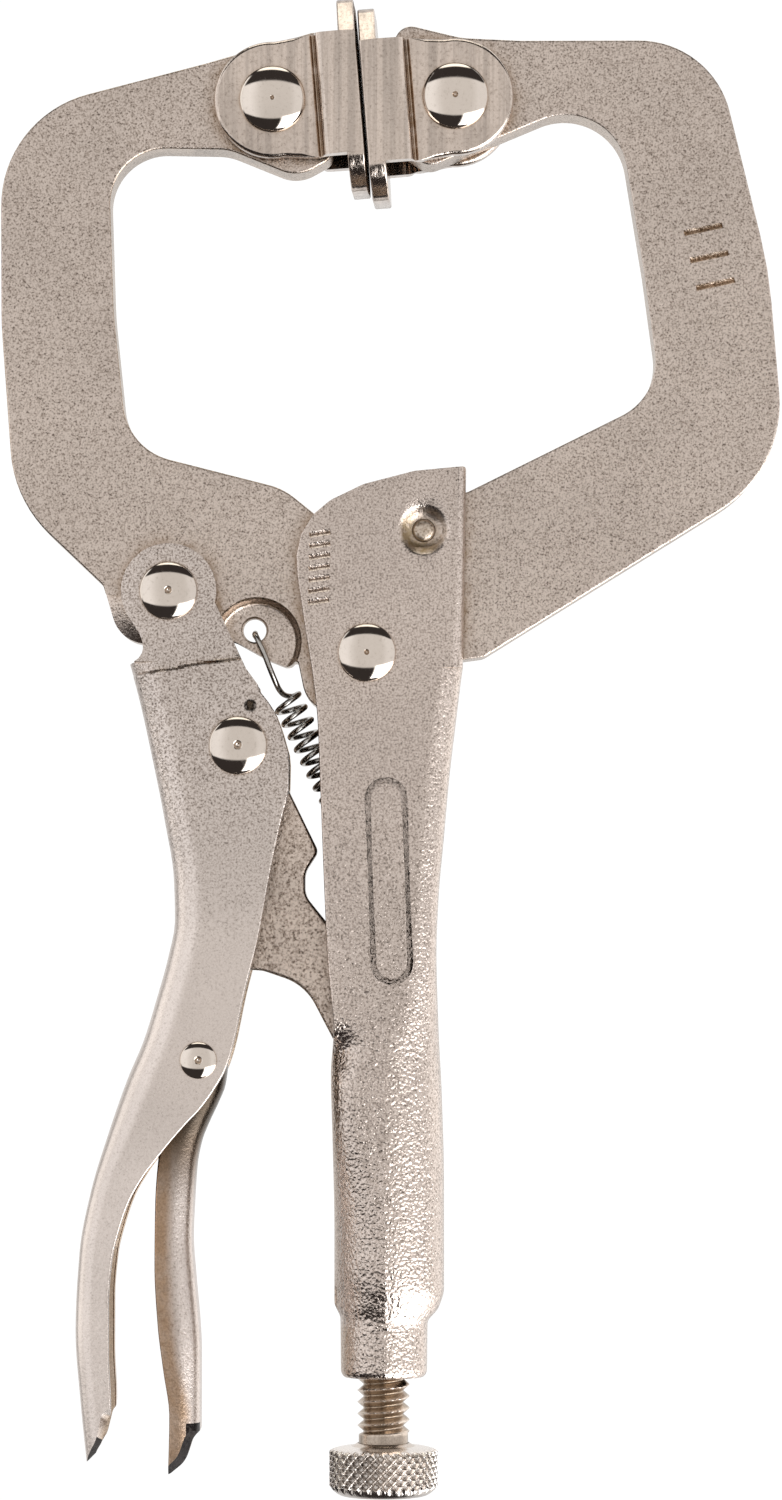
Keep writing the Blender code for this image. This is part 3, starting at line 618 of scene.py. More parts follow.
# dull and dark: painted shade in the gap between the pads' clamping faces
M_FACE_SHADE = metal(
    "pad_face_painted_shade", base=(0.20, 0.165, 0.14), shade=(0.09, 0.07, 0.055), rough=0.55,
    grain=2.0, grain_mm=0.25, speck=0.8, grime_and_shade=0.6)
face_shader = M_FACE_SHADE.node_tree.nodes["Principled BSDF"]
face_shader.inputs["Metallic"].default_value = 0.3
face_shader.inputs["Specular IOR Level"].default_value = 0.1
M_PLUG = metal(
    "weld_plug_nickel", base=(0.68, 0.59, 0.50), shade=(0.36, 0.27, 0.19), rough=0.40,
    grain=3.2, grain_mm=0.22, speck=0.8, grime_and_shade=0.5)


def set_tint(obj, rule, name="tint_and_shade"):
    """Stores how strongly each point is tinted or darkened, 0 to 1, from its place in mm."""
    values = [max(0.0, min(1.0, rule(*(c / MM for c in v.co)))) for v in obj.data.vertices]
    obj.data.attributes.new(name, "FLOAT", "POINT").data.foreach_set("value", values)


def finish(obj, material, body, sharp=32, weighted=True, edge=None):
    """Shades a piece, gives it its finish and stands it in for the CAD node it is named after.

    edge finishes the blanked walls of a plate.
    """
    obj.data.materials.append(material)
    if edge:
        obj.data.materials.append(edge)
    for face in obj.data.polygons:
        face.material_index = 1 if edge and abs(face.normal.y) < 0.78 else 0
    obj.data.shade_smooth()
    obj.data.set_sharp_from_angle(angle=radians(sharp))
    if weighted:
        mod = obj.modifiers.new("normals", "WEIGHTED_NORMAL")
        mod.keep_sharp = True
        mod.weight = 60
        apply_mods(obj)
    obj.location = ORIGIN
    if body:
        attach(obj, body)
    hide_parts(obj.name.removesuffix("_skin"))


# =====================================================================
# movable jaw
# =====================================================================
# corners x, z, radius
JAW_LEFT = [
    (-3.6, 57.0, 1.3), (-14.6, 53.8, 20), (-33.3, 48.9, 10.5), (-33.2, 30.0, 30),
    (-32.0, 13.9, 11.5), (-23.9, 6.2, 1.0), (-22.4, 1.1, 3.2), (-15.0, 0.6, 2.5),
    (-12.4, 1.4, 2.0), (-8.9, -0.55, 2.0), (-7.0, -1.3, 0.9), (-6.3, -0.4, 0.25),
    (-5.3, -5.3, 5.0), (5.3, -5.3, 5.1), (5.3, 5.3, 5.1), (-1.9, 5.3, 0.8),
    (-2.4, 10.8, 3.0), (-7.6, 15.0, 6.0), (-21.7, 18.6, 5.6), (-23.0, 31.0, 30),
    (-23.5, 46.1, 6.6), (-12.6, 45.9, 5.0), (-6.3, 43.35, 3.4), (-3.0, 45.2, 1.4),
]
# cutter profiles: radius, distance from the middle plane
RELIEF = [
    (0, 5.0), (4.2, 5.0), (4.2, 2.47), (4.05, 2.40), (3.92, 2.26), (3.80, 2.02), (3.70, 1.72),
    (3.60, 1.47), (3.46, 1.33), (3.28, 1.27), (0, 1.27),
]
TAIL_CONE = [
    (0, 4.0), (9.5, 4.0), (9.5, -0.9), (6.9, 0.9), (5.2, 1.95), (4.6, 2.32), (4.3, 2.41),
    (0, 2.41),
]
TAIL_ZONE = [(-27, 6.0, 0), (-21.0, 5.0, 0), (-17.5, 2.2, 0), (-17.5, -3, 0), (-27, -3, 0)]
FLARED_HOLE = [
    (0, -6), (1.7, -6), (1.25, -1.3), (1.08, -1.0), (1.02, 0), (1.08, 1.0), (1.25, 1.3),
    (1.7, 6), (0, 6),
]

jaw_l = prism("movable_jaw_skin", fillet(JAW_LEFT), -JAW_T / 2, JAW_T / 2)
drill(jaw_l, PIVOT, LEVER_PIN, PAD_PIN_L)
bevel(jaw_l, 0.22)
for side in (-1, 1):  # coined relief round the spring hole: sloping wall, rolled rim
    boolean(jaw_l, turned("cutter", RELIEF, (-9.95, 1.1), side=side))
for side in (-1, 1):  # the tail's corner is coined down round the lever's ear
    cone = turned("cutter", TAIL_CONE, (LEVER_PIN[0] + 0.25, LEVER_PIN[1] + 0.1), 120, side)
    boolean(cone, prism("cutter2", fillet(TAIL_ZONE), -9, 9), "INTERSECT")
    boolean(jaw_l, cone)
boolean(jaw_l, turned("cutter", FLARED_HOLE, SPRING_HOLE, 64))
finish(jaw_l, M_JAW, "movable_jaw", edge=M_EDGE)

# =====================================================================
# fixed jaw
# =====================================================================
# corners x, z, radius
JAW_RIGHT = [
    (2.4, 57.6, 1.5), (8.6, 56.1, 8), (14.0, 55.85, 10), (31.4, 55.9, 8.5), (36.5, 35.0, 40),
    (38.0, 16.7, 11.5), (10.6, -0.3, 1.5), (6.2, -0.9, 1.5), (6.2, 3.4, 1.5), (4.6, 6.2, 1.5),
    (0.9, 7.2, 1.5), (0.9, 13.4, 1.5), (9.0, 14.6, 3.0), (26.7, 23.4, 5.6), (25.2, 34.6, 30),
    (22.5, 51.4, 6.7), (9.0, 45.75, 5.0), (5.6, 44.3, 1.7), (3.2, 45.9, 1.5),
]
# the blanked edge rolls over as a wide, shallow curve: bevelled on a thicker plate, then thinned
ROLL = 2.2

jaw_r = prism("fixed_jaw_skin", fillet(JAW_RIGHT), -ROLL * JAW_T / 2, ROLL * JAW_T / 2)
drill(jaw_r, PAD_PIN_R)
bevel(jaw_r, 1.35, segments=7)
for v in jaw_r.data.vertices:
    v.co.y /= ROLL
for k in range(3):  # plain tally marks pressed into the front face
    x, z = 30.6 + 0.55 * k, 38.6 - 2.5 * k
    groove(jaw_r, (x - 1.8, z - 0.35), (x + 1.7, z + 0.4), width=0.55, y_face=-JAW_T / 2,
           depth=0.26)
finish(jaw_r, M_JAW, "handle", edge=M_EDGE)

# =====================================================================
# fixed handle
# =====================================================================
# channel stations: z, then x of the mouth, x of the spine, or half width
HANDLE_MOUTH = [
    (-65.4, -2.02), (-65.28, -2.16), (-65.1, -2.28), (-64.8, -2.35), (-60.2, -2.4),
    (-58.6, -2.95), (-52.0, -2.95), (-44.0, -3.1), (-38.0, -3.25), (-34.0, -3.0), (-28.0, -3.5),
    (-22.0, -3.8), (-12.0, -4.2), (-6.0, -4.45), (-2.0, -4.9), (1.2, -5.4), (5.0, -6.0),
    (8.4, -6.4), (10.3, -6.1), (12.4, -5.0), (13.6, -3.4),
]
HANDLE_SPINE = [
    (-65.4, 5.12), (-65.28, 5.26), (-65.1, 5.38), (-64.8, 5.45), (-60.6, 5.5), (-59.2, 6.5),
    (-57.4, 7.0), (-48.0, 7.0), (-40.0, 6.8), (-34.0, 6.5), (-27.0, 6.3), (-22.0, 6.5),
    (-17.0, 6.95), (-11.0, 7.5), (-6.0, 8.1), (-2.0, 8.6), (0.0, 8.9),
]
HANDLE_HALF = [
    (-65.4, 3.57), (-65.28, 3.71), (-65.1, 3.83), (-64.8, 3.9), (-61.2, 3.95), (-60.3, 4.02),
    (-58.9, 4.34), (-57.0, 4.78), (-54.6, 4.95), (-51.0, 5.0), (-46.0, 5.0), (-36.0, 4.9),
    (-28.0, 4.5), (-18.0, 4.25), (-10.0, 4.2), (20.0, 4.2),
]
HANDLE_Z = (
    [-65.4, -65.34, -65.28, -65.2, -65.1, -64.95] + steps(-64.8, -61.4, 0.5)
    + steps(-61.2, -57.0, 0.2) + steps(-56.6, -40.0, 0.6) + steps(-39.5, -32.0, 0.3)
    + steps(-31.4, -1.9, 0.9) + [-1.32, -1.28] + steps(1.2, 12.6, 1.9) + [17.5]
)
# pinches in the cheeks: x, z, spread in x, spread in z, least |y| moved, depth
PINCHES = [(-2.6, -35.9, 1.5, 1.7, 2.0, 1.05), (-2.5, -58.1, 1.9, 1.5, 1.2, 0.55)]
# corners x, z, radius
HANDLE_TOP_CUT = [
    (-14, 12.2, 0), (-5.2, 12.2, 0.5), (-3.3, 13.8, 3), (-0.3, 15.25, 3), (4.3, 16.45, 3),
    (9.0, 16.9, 0.3), (8.7, -1.36, 0), (30, -1.36, 0), (30, 30, 0), (-14, 30, 0),
]
TAB = [(0.7, -18.4, 0.3), (0.7, -19.4, 0.3), (6.2, -19.4, 0), (6.2, -18.4, 0)]
# radius, distance from the middle plane
WELD_DENT = [
    (0, 4.9), (2.75, 4.9), (2.42, 4.22), (2.2, 4.13), (2.02, 3.98), (1.82, 3.78), (1.62, 3.6),
    (1.4, 3.48), (1.22, 3.42), (1.06, 3.40), (1.04, 2.2), (0, 2.2),
]
WELD_PLUG = [
    (0, 2.6), (0.98, 2.6), (1.02, 3.0), (1.0, 3.55), (0.93, 3.72), (0.78, 3.84), (0.55, 3.90),
    (0.3, 3.93), (0, 3.94),
]


def handle_ring(z):
    mouth, half_width = value_at(HANDLE_MOUTH, z), value_at(HANDLE_HALF, z)
    spine = value_at(HANDLE_SPINE, z) if z < -1.3 else 15.0
    # the lips turn in sharply, then draw together further down
    shut = 1.0 - smooth01((z + 37.4) / 3.6)
    meet = 1.0 - smooth01((z + 54.0) / 12.0)
    tube = 1.0 - smooth01((z + 38.0) / 12.0)
    full = min(half_width, (spine - mouth) / 2) - 0.06
    sheet = SHEET
    if z <= -58.0:
        sheet -= (SHEET - SOCKET_WALL) * min(1.0, (-58.0 - z) / 2.0)
    if z < -64.8:  # the outer rim rounds over; the bore stays straight
        sheet -= 3.9 - half_width
    return channel_ring(z, mouth, spine, half_width, 2.3 + (full - 2.3) * tube, sheet,
                        corner_parts=12, flat_parts=8, shut=shut,
                        lip=2.4 + (full - 2.4) * meet, gap=2.3 - 2.0 * meet)


def press_handle(x, y, z):
    """A faint crest down the grip's front and back, and the pinches where the channel closes."""
    side = 1.0 if y > 0 else -1.0
    if z < -36.0 and abs(y) > 2.2:
        crest = exp(-abs(x - 1.65) / 1.1) * 0.16 - 0.05
        y += side * smooth01((-36.0 - z) / 14.0) * crest
    for pinch_x, pinch_z, spread_x, spread_z, least_y, depth in PINCHES:
        far = ((x - pinch_x) / spread_x) ** 2 + ((z - pinch_z) / spread_z) ** 2
        if far < 9 and abs(y) > least_y:
            y -= side * depth * exp(-far)
    return x, y, z


def round_right_edge(obj, side):
    """Rounds the cheek's right edge, following on from the bend below it."""
    rings = []
    for z, radius in ((-1.34, 1.35), (0.6, 1.2), (3.0, 1.05), (6.0, 0.95), (18.5, 0.95)):
        edge = 8.7 + 0.3 * (z + 1.36) / 18.26
        x, y = edge - radius, CHEEK_OUT - radius
        turns = [radians(7.5 * k) for k in range(13)]
        ring = [(x, 5.6)] + [(x + radius * sin(a), y + radius * cos(a)) for a in turns]
        ring += [(edge + 1.5, y), (edge + 1.5, 5.6)]
        rings.append([(x, side * y, z) for x, y in ring])
    boolean(obj, loft("cutter", rings))


def press_stadium(obj, x0=2.0, z0=-20.6, half=7.4, radius=1.95, lean=radians(-2.0)):
    """V groove in a closed stadium loop on the front cheek."""

    def stadium(radius):
        points = arc(0, half, radius, 0, pi, 26) + arc(0, -half, radius, pi, tau, 26)
        return [
            (x0 + x * cos(lean) + z * sin(lean), z0 - x * sin(lean) + z * cos(lean))
            for x, z in points
        ]

    # inset from the outer edge, depth below the cheek; None is clear of the cheek
    section = [(0, None), (0, 0.0), (0.29, 0.24), (0.58, 0.0), (0.58, None)]
    verts = [
        (x, -6.5 if depth is None else -value_at(HANDLE_HALF, z) + depth, z)
        for inset, depth in section
        for x, z in stadium(radius - inset)
    ]
    count = len(verts) // len(section)
    faces = [
        [a * count + i, a * count + (i + 1) % count, b * count + (i + 1) % count, b * count + i]
        for a, b in ((0, 1), (1, 2), (2, 3), (3, 4), (4, 0))
        for i in range(count)
    ]
    boolean(obj, mesh_object("cutter", verts, faces))


# painted shade along the tube's curled left edge and on the lower left of the socket
def handle_painted_shade(x, y, z):
    if z > -36:
        return 0.0
    socket = 0.8 * smooth01((-0.9 - x) / 0.9) * smooth01((-60.4 - z) / 0.8)
    return max(socket, 0.7 * smooth01((-2.35 - x) / 0.5))


handle = loft("fixed_handle_skin", [handle_ring(z) for z in HANDLE_Z])
reshape(handle, press_handle)
cut_through(handle, fillet(HANDLE_TOP_CUT))
for side in (-1, 1):
    round_right_edge(handle, side)
drill(handle, PIVOT)
round_cut_edges(handle, 0.2, lambda p: p.z > 1.5 and -6.2 < p.x < 8.3)
for side in (-1, 1):  # weld dimple: a round pressed dent with a hole the plug fills
    boolean(handle, turned("cutter", WELD_DENT, WELD, 72, side))
press_stadium(handle)
for k in range(7):  # short plain ticks near the front cheek's left edge
    x, z = -4.35 + 0.02 * k, 4.6 + 1.02 * k
    groove(handle, (x - 0.95, z - 0.05), (x + 0.95, z + 0.23), width=0.56, y_face=-CHEEK_OUT,
           depth=0.21)
boolean(handle, prism("cutter", fillet(TAB), -0.7, 0.7), "UNION")  # holds the spring's tail
finish(handle, M_HANDLE, "handle", weighted=False)
set_tint(handle, handle_painted_shade)

for place, side in (("front", -1), ("back", 1)):
    plug = turned("weld_plug_%s_skin" % place, WELD_PLUG, WELD, 48, side)
    finish(plug, M_PLUG, "handle", weighted=False)


# =====================================================================
# lever
# =====================================================================
def slanted_tip(obj, outline, shift, y_in, y_out):
    """Cuts a tip, then slants both its sides: the cut moves by shift (x, z) from y_in to y_out."""
    cut_through(obj, outline)
    for side in (-1, 1):
        inner = [(x, side * y_in, z) for x, z in outline]
        outer = [(x + shift[0], side * y_out, z + shift[1]) for x, z in outline]
        boolean(obj, loft("cutter", [inner, outer]))


def darken_tip(obj, top, lean):
    """Painted shade on a tip's slanted faces that look right and lean down past lean."""
    obj.data.materials.append(M_TIP_SHADE)
    for face in obj.data.polygons:
        normal = face.normal
        slanted = 0.25 < abs(normal.y) < 0.93 and normal.z < lean and normal.x > 0.05
        if (face.center / MM).z < top and slanted:
            face.material_index = 1


# channel stations: z, then x of the mouth, x of the spine, or half width
LEVER_MOUTH = [
    (-75.0, -23.2), (-67.6, -22.9), (-63.0, -23.1), (-58.5, -23.1), (-54.6, -22.8),
    (-51.7, -22.1), (-49.4, -21.3), (-47.1, -20.0), (-45.5, -18.8), (-44.0, -17.6),
    (-42.4, -16.2), (-40.9, -14.8), (-39.2, -13.6), (-37.6, -12.7), (-35.4, -12.0),
    (-31.1, -11.1), (-25.9, -9.8), (-19.4, -8.6), (-15.2, -7.7), (-12.3, -7.05), (-9.7, -7.0),
    (-7.9, -7.4), (-5.3, -8.3), (-2.9, -9.8), (12.0, -9.8),
]
LEVER_SPINE = [
    (-75.0, -24.9), (-67.3, -25.7), (-61.0, -26.15), (-53.9, -25.8), (-48.5, -24.8),
    (-43.1, -23.2), (-38.5, -21.6), (-34.9, -20.1), (-31.3, -19.0), (-27.7, -18.0),
    (-24.1, -17.35), (-20.5, -17.45), (-15.1, -18.3), (-9.6, -19.4), (-4.2, -20.6),
    (-0.9, -21.5),
]
LEVER_HALF = [
    (-75.0, 5.3), (-66.0, 5.8), (-56.0, 6.0), (-44.0, 5.8), (-30.0, 5.2), (-14.0, 4.9),
    (12.0, 4.9),
]
LEVER_Z = (
    steps(-74.2, -50.5, 0.8) + steps(-50.0, -36.0, 0.4) + steps(-35.2, -3.6, 0.9)
    + steps(-3.3, -0.8, 0.08) + steps(-0.74, 0.9, 0.08) + [3.0, 12.0]
)
# outline x, z round the ears, above the channel
EAR_CUT = (
    [(-34, -1.0), (-21.6, -1.0), (-21.1, -0.85), (-20.6, -0.5), (-20.3, -0.05), (-20.2, 0.4),
     (-20.25, 1.0), (-20.5, 1.7)]
    + arc(*LEVER_PIN, 4.3, radians(215), radians(-14), 60)
    + [(-12.7, 2.4), (-11.0, -1.3), (-9.75, -3.0), (2, -3.0), (2, 24), (-34, 24)]
)
# corners x, z, radius
LEVER_TIP = [
    (-22.0, -68.2, 0), (-23.0, -68.9, 0.8), (-23.6, -71.2, 2.0), (-25.4, -73.0, 2.0),
    (-30, -73.6, 0), (-30, -80, 0), (-10, -80, 0), (-10, -68.0, 0),
]
MARK = [(-10.85, -5.3, 0.12), (-10.15, -5.15, 0.12), (-10.2, -4.45, 0.12), (-10.75, -4.3, 0.12)]


def lever_ring(z):
    spine = value_at(LEVER_SPINE, z) if z < -0.75 else -27.0
    mouth = value_at(LEVER_MOUTH, z)
    deep = abs(mouth - spine)
    bend = 2.6 - 1.2 * smooth01((-38.0 - z) / 12.0)
    return channel_ring(z, mouth, spine, value_at(LEVER_HALF, z), min(bend, deep - 0.5),
                        min(SHEET, max(0.9, deep * 0.42)), corner_parts=9, flat_parts=14)


def press_lever(x, y, z):
    """The joggle that brings the ears in along a slightly rising line, and the leaning grip."""
    side = 1 if y > 0 else -1
    line = -1.05 + 0.16 * (x + 15.0)
    line += 0.05 * sin(x * 9.0) + 0.04 * sin(x * 23.0 + 1.0)
    if z > -3.4:
        y -= side * 0.7 * smooth01((z - line + 0.14) / 0.28)
    # lower down, the grip's cheeks lean in towards its back
    low = smooth01((-36.0 - z) / 14.0)
    y -= side * 0.15 * low * max(0.0, value_at(LEVER_MOUTH, z) - x)
    return x, y, z


def lever_tint(x, y, z):
    """Tints the inside of the channel."""
    within = abs(y) < value_at(LEVER_HALF, z) - 1.1 and x - value_at(LEVER_SPINE, z) > 1.25
    return 0.85 if within and z < -3 else 0.0


lever = loft("lever_skin", [lever_ring(z) for z in LEVER_Z])
reshape(lever, press_lever)
cut_through(lever, EAR_CUT)
slanted_tip(lever, fillet(LEVER_TIP), shift=(-1.05, 0.78), y_in=4.1, y_out=6.2)
drill(lever, LEVER_PIN, LINK_PIN)
drill(lever, RELEASE_PIN, radius=RELEASE_HOLE_R)
round_cut_edges(lever, 0.34, lambda p: p.z > 1.2)
boolean(lever, prism("cutter", fillet(MARK, radians(30)), -6, -4.9 + 1.3))
finish(lever, M_LEVER, "lever", weighted=False)
set_tint(lever, lever_tint)
darken_tip(lever, top=-70.0, lean=-0.25)

# =====================================================================
# toggle link
# =====================================================================
# corners x, z, radius
LINK = [
    (-8.2, -5.0, 3.3), (-8.0, -10.5, 3), (-4.4, -17.9, 0.9), (-5.6, -19.8, 2.0),
    (-5.6, -21.9, 2.0), (-3.6, -24.4, 1.4), (2.4, -26.6, 3.0), (3.9, -33.0, 4.0),
    (3.2, -39.6, 2.3), (-0.6, -39.6, 2.6), (-5.6, -30.0, 5.0), (-9.4, -28.7, 3.0),
    (-12.7, -28.5, 1.2), (-12.9, -20.0, 6), (-15.0, -12.0, 4), (-15.0, -5.0, 3.3),
]
link = prism("toggle_link_skin", fillet(LINK), -LINK_T / 2, LINK_T / 2)
drill(link, LINK_PIN)
bevel(link, 0.32)
finish(link, M_LINK, "toggle_link", edge=M_EDGE)

# =====================================================================
# release lever
# =====================================================================
# channel stations: z, then x of the mouth, x of the spine, or half width
RELEASE_MOUTH = [
    (-75.0, -17.9), (-68.7, -17.75), (-64.6, -18.3), (-60.6, -18.8), (-55.2, -19.1),
    (-49.8, -19.05), (-44.0, -18.6), (-39.0, -17.7), (-36.0, -16.9), (-33.0, -15.9),
    (-30.0, -14.9),
]
RELEASE_SPINE = [
    (-75.0, -15.2), (-69.0, -15.0), (-63.1, -15.0), (-60.9, -15.1), (-56.4, -15.5),
    (-52.8, -15.75), (-49.2, -15.6), (-46.3, -15.4), (-44.2, -15.0), (-42.4, -14.3),
    (-40.7, -13.5), (-39.0, -12.85), (-36.7, -12.6), (-33.0, -12.6), (-30.0, -13.0),
]
RELEASE_HALF = [(-75.0, 3.4), (-60.0, 3.7), (-46.0, 3.5), (-38.0, 3.3), (-30.0, 3.1)]
# corners x, z, radius
RELEASE_TIP = [
    (-12.0, -69.2, 0), (-14.0, -69.2, 1.0), (-15.6, -70.6, 2.0), (-16.3, -72.8, 2.5),
    (-17.9, -74.1, 1.5), (-22, -74.4, 0), (-22, -80, 0), (-10, -80, 0), (-10, -69.2, 0),
]


def release_ring(z):
    mouth, spine = value_at(RELEASE_MOUTH, z), value_at(RELEASE_SPINE, z)
    deep = abs(mouth - spine)
    return channel_ring(z, mouth, spine, value_at(RELEASE_HALF, z), min(1.9, deep - 0.4),
                        min(1.2, deep * 0.4), corner_parts=9, flat_parts=12)


def release_heat_and_shade(x, y, z):
    """Heat colour along the mouth side and inside, and painted shade up where the lever shades it.
    """
    mouth, spine = value_at(RELEASE_MOUTH, z), value_at(RELEASE_SPINE, z)
    across = (x - mouth) / (spine - mouth)
    side = 1.0 - smooth01((across - 0.22 - 0.25 * smooth01((-63.0 - z) / 6.0)) / 0.34)
    inside = 1.0 if abs(y) < value_at(RELEASE_HALF, z) - 0.9 and spine - x > 0.9 else 0.0
    return max(0.9 * side, 0.75 * smooth01((z + 50.0) / 7.0), 0.8 * inside)


def release_shade(x, y, z):
    return 0.93 * smooth01((z + 51.5) / 10.0) + 0.12 * smooth01((-70.5 - z) / 2.5)


release_z = steps(-75, -50.0, 0.8) + steps(-49.5, -30.4, 0.5)
release = loft("release_lever_skin", [release_ring(z) for z in release_z])
slanted_tip(release, fillet(RELEASE_TIP), shift=(-0.95, 0.6), y_in=2.4, y_out=3.9)
drill(release, RELEASE_PIN, radius=RELEASE_HOLE_R)
finish(release, M_RELEASE, "release_lever", weighted=False)
set_tint(release, release_heat_and_shade)
set_tint(release, release_shade, "shade")
darken_tip(release, top=-69.0, lean=-0.02)

# =====================================================================
# rivets: polished domes with a small centre punch
# =====================================================================
# name, place, shank radius, head radius, seat from the middle plane, dome, body, punch radius
RIVETS = [
    ("main_pivot_rivet", PIVOT, 1.85, 2.62, CHEEK_OUT, 0.92, "handle", 0.22),
    ("lever_rivet", LEVER_PIN, 1.85, 2.62, CHEEK_OUT, 0.92, "lever", 0.30),
    ("link_rivet", LINK_PIN, 1.85, 2.62, 4.9, 0.92, "lever", 0.34),
    ("release_rivet", RELEASE_PIN, 1.2, 1.65, 5.43, 0.62, "lever", 0.30),
    ("left_pad_rivet", PAD_PIN_L, 1.85, 3.0, CHEEK_OUT, 1.05, "movable_jaw", 0.17),
    ("right_pad_rivet", PAD_PIN_R, 1.85, 3.0, CHEEK_OUT, 1.05, "handle", 0.24),
]

for name, at, shank, head, seat, dome, body, punch in RIVETS:
    half = [(shank, seat - 0.04), (head * 0.955, seat - 0.04), (head * 0.985, seat + 0.03),
            (head, seat + 0.13)]
    for i in range(1, 19):
        angle = radians(90 * i / 18.0)
        radius = head * cos(angle)
        if radius < punch * 1.6:
            break
        half.append((radius, seat + 0.13 + (dome - 0.13) * sin(angle)))
    top = seat + dome
    half += [(punch * 1.35, top - 0.004), (punch * 1.12, top - 0.02), (punch * 0.95, top - 0.12),
             (punch * 0.7, top - 0.27), (punch * 0.35, top - 0.34), (0, top - 0.36)]
    rivet = turned(name + "_skin", [(r, -y) for r, y in reversed(half)] + half, at, 112)
    finish(rivet, M_RIVET, body, sharp=50, weighted=False)

# =====================================================================
# swivel pads: folded ears joggled to the jaw, rounded shoulders, a face plate with turned flanges
# =====================================================================
PAD_WIDE = 5.5  # half width across the flanges
FACE_BACK, FACE_FRONT = PAD_REACH - 1.55, PAD_REACH


def pad_ear(side):
    """One ear and its flange, drawn with the pad's reach along +X from its pin."""
    ear_in = CHEEK_OUT - SHEET
    # corners reach, y, radius
    plan = [
        (-6, CHEEK_OUT, 0), (-6, ear_in, 0), (3.75, ear_in, 0.8), (4.4, PAD_WIDE - SHEET, 0.8),
        (FACE_BACK + 0.4, PAD_WIDE - SHEET, 0), (FACE_FRONT - 0.05, PAD_WIDE - 0.9, 0),
        (FACE_FRONT - 0.06, PAD_WIDE - 0.05, 0.6), (6.3, PAD_WIDE + 0.1, 3.5),
        (4.40, PAD_WIDE - 0.05, 0.55), (4.08, CHEEK_OUT - 0.30, 0.05),
        (3.95, CHEEK_OUT - 0.30, 0.05), (3.80, CHEEK_OUT, 0.2),
    ]
    plan = fillet([(x, side * y, radius) for x, y, radius in plan], radians(10))
    ear = loft("cutter", [[(x, y, z) for x, y in plan] for z in (-5.55, 5.55)])
    nose = (
        [(-8, -9), (3.2, -9), (3.2, -5.56), (2.2, -5.45), (1.0, -5.3)]
        + arc(0, 0, 5.3, radians(-84), radians(-276), 72)
        + [(1.0, 5.3), (2.2, 5.45), (3.2, 5.56), (3.2, 9), (-8, 9)]
    )
    boolean(ear, prism("cutter2", nose, -9, 9))
    drill(ear, PIVOT)
    round_cut_edges(ear, 0.4, lambda p: p.x < 3.3, segments=4, clamp=False)
    return ear


def pad(name, pin, toward):
    """Pad on its pin, reaching towards +X or -X by the sign of toward."""
    # face plate seen along the reach (y, z): straight beside the ears, its top end cropped,
    # its foot rounded in
    foot = [(5.5 - 2.9 * ((k / 8.0) ** 1.9), -5.45 - 3.3 * k / 8.0) for k in range(9)]
    edge = foot[::-1] + [(5.5, 5.5), (5.42, 5.6), (3.45, 8.3), (3.1, 8.62), (2.7, PAD_HALF)]
    outline = edge + [(-y, z) for y, z in reversed(edge)]
    obj = loft(name + "_skin", [[(x, y, z) for y, z in outline] for x in (FACE_BACK, FACE_FRONT)])
    bevel(obj, 0.16, angle=50)
    for side in (-1, 1):
        boolean(obj, pad_ear(side), "UNION")
    turn = Matrix.Scale(toward, 4, (1, 0, 0)) if toward < 0 else Matrix.Identity(4)
    lean = Matrix.Rotation(radians(-PAD_TILT), 4, "Y")
    move = Matrix.Translation(Vector((pin[0], 0, pin[1])) * MM)
    for v in obj.data.vertices:  # the plate sits a touch out of square to the ears
        v.co.x += toward * 0.036 * smooth01((v.co.x / MM - 4.3) / 2.0) * v.co.y
    obj.data.transform(move @ lean @ turn)
    if toward < 0:
        obj.data.flip_normals()
    finish(obj, M_PAD, name)
    # painted shade: the clamping faces are dark to stand for the shade in the gap between the pads
    obj.data.materials.append(M_FACE_SHADE)  # the clamping face itself is dull and dark
    away = lean.to_3x3() @ Vector((toward, 0, 0))
    for face in obj.data.polygons:
        reach = (face.center / MM - Vector((pin[0], 0, pin[1]))) @ away
        if face.normal @ away > 0.8 and reach > FACE_FRONT - 0.35:
            face.material_index = 1


pad("left_pad", PAD_PIN_L, 1)
pad("right_pad", PAD_PIN_R, -1)


# =====================================================================
# thumb screw
# =====================================================================
def thread(name, low, high, count=72, rows=20):
    """Right-hand thread: sharp crests, rounded roots, running out into a plain collar below."""
    turns = [tau * i / count for i in range(count)]
    step = SCREW_PITCH / rows
    ring_count = int((high - 1.3 - low) / step)
    rings = []
    for k in range(ring_count + 1):
        z = low + k * step
        tail = smooth01((high - 1.4 - z) / 1.0)
        ring = []
        for angle in turns:
            phase = (z / SCREW_PITCH - angle / tau) % 1.0
            wave = abs(2 * phase - 1)
            if wave > 0.8:
                wave = 1.0 - sqrt((1.0 - wave) ** 2 + 0.004) + 0.04
            cut = THREAD_DEPTH * 1.12 * min(wave, 0.92)
            lead = smooth01((z - (low + 0.95) - 0.25 * (angle / pi - 1)) / 0.3)
            radius = SCREW_R - 0.02 - cut * lead * tail - 0.14 * (1 - lead) - 0.35 * (1 - tail)
            ring.append((SCREW_X + radius * cos(angle), radius * sin(angle), z))
        rings.append(ring)
    end = low + ring_count * step
    # the rounded tip: radius, rise
    for radius, rise in ((1.98, 0.3), (1.85, 0.6), (1.55, 0.9), (1.1, 1.15), (0.6, high - end)):
        rings.append([(SCREW_X + radius * cos(a), radius * sin(a), end + rise) for a in turns])
    return loft(name, rings)


def below_crest(x, y, crest):
    """How far a point lies inside the radius crest, measured from the screw's axis."""
    return crest - hypot(x - SCREW_X, y)


def screw_shade(x, y, z):
    if z < KNOB_TOP + 1.2:
        return 0.34 * smooth01((KNOB_TOP + 1.15 - z) / 0.2)
    return 0.1 * smooth01(below_crest(x, y, SCREW_R - 0.06) / 0.3)


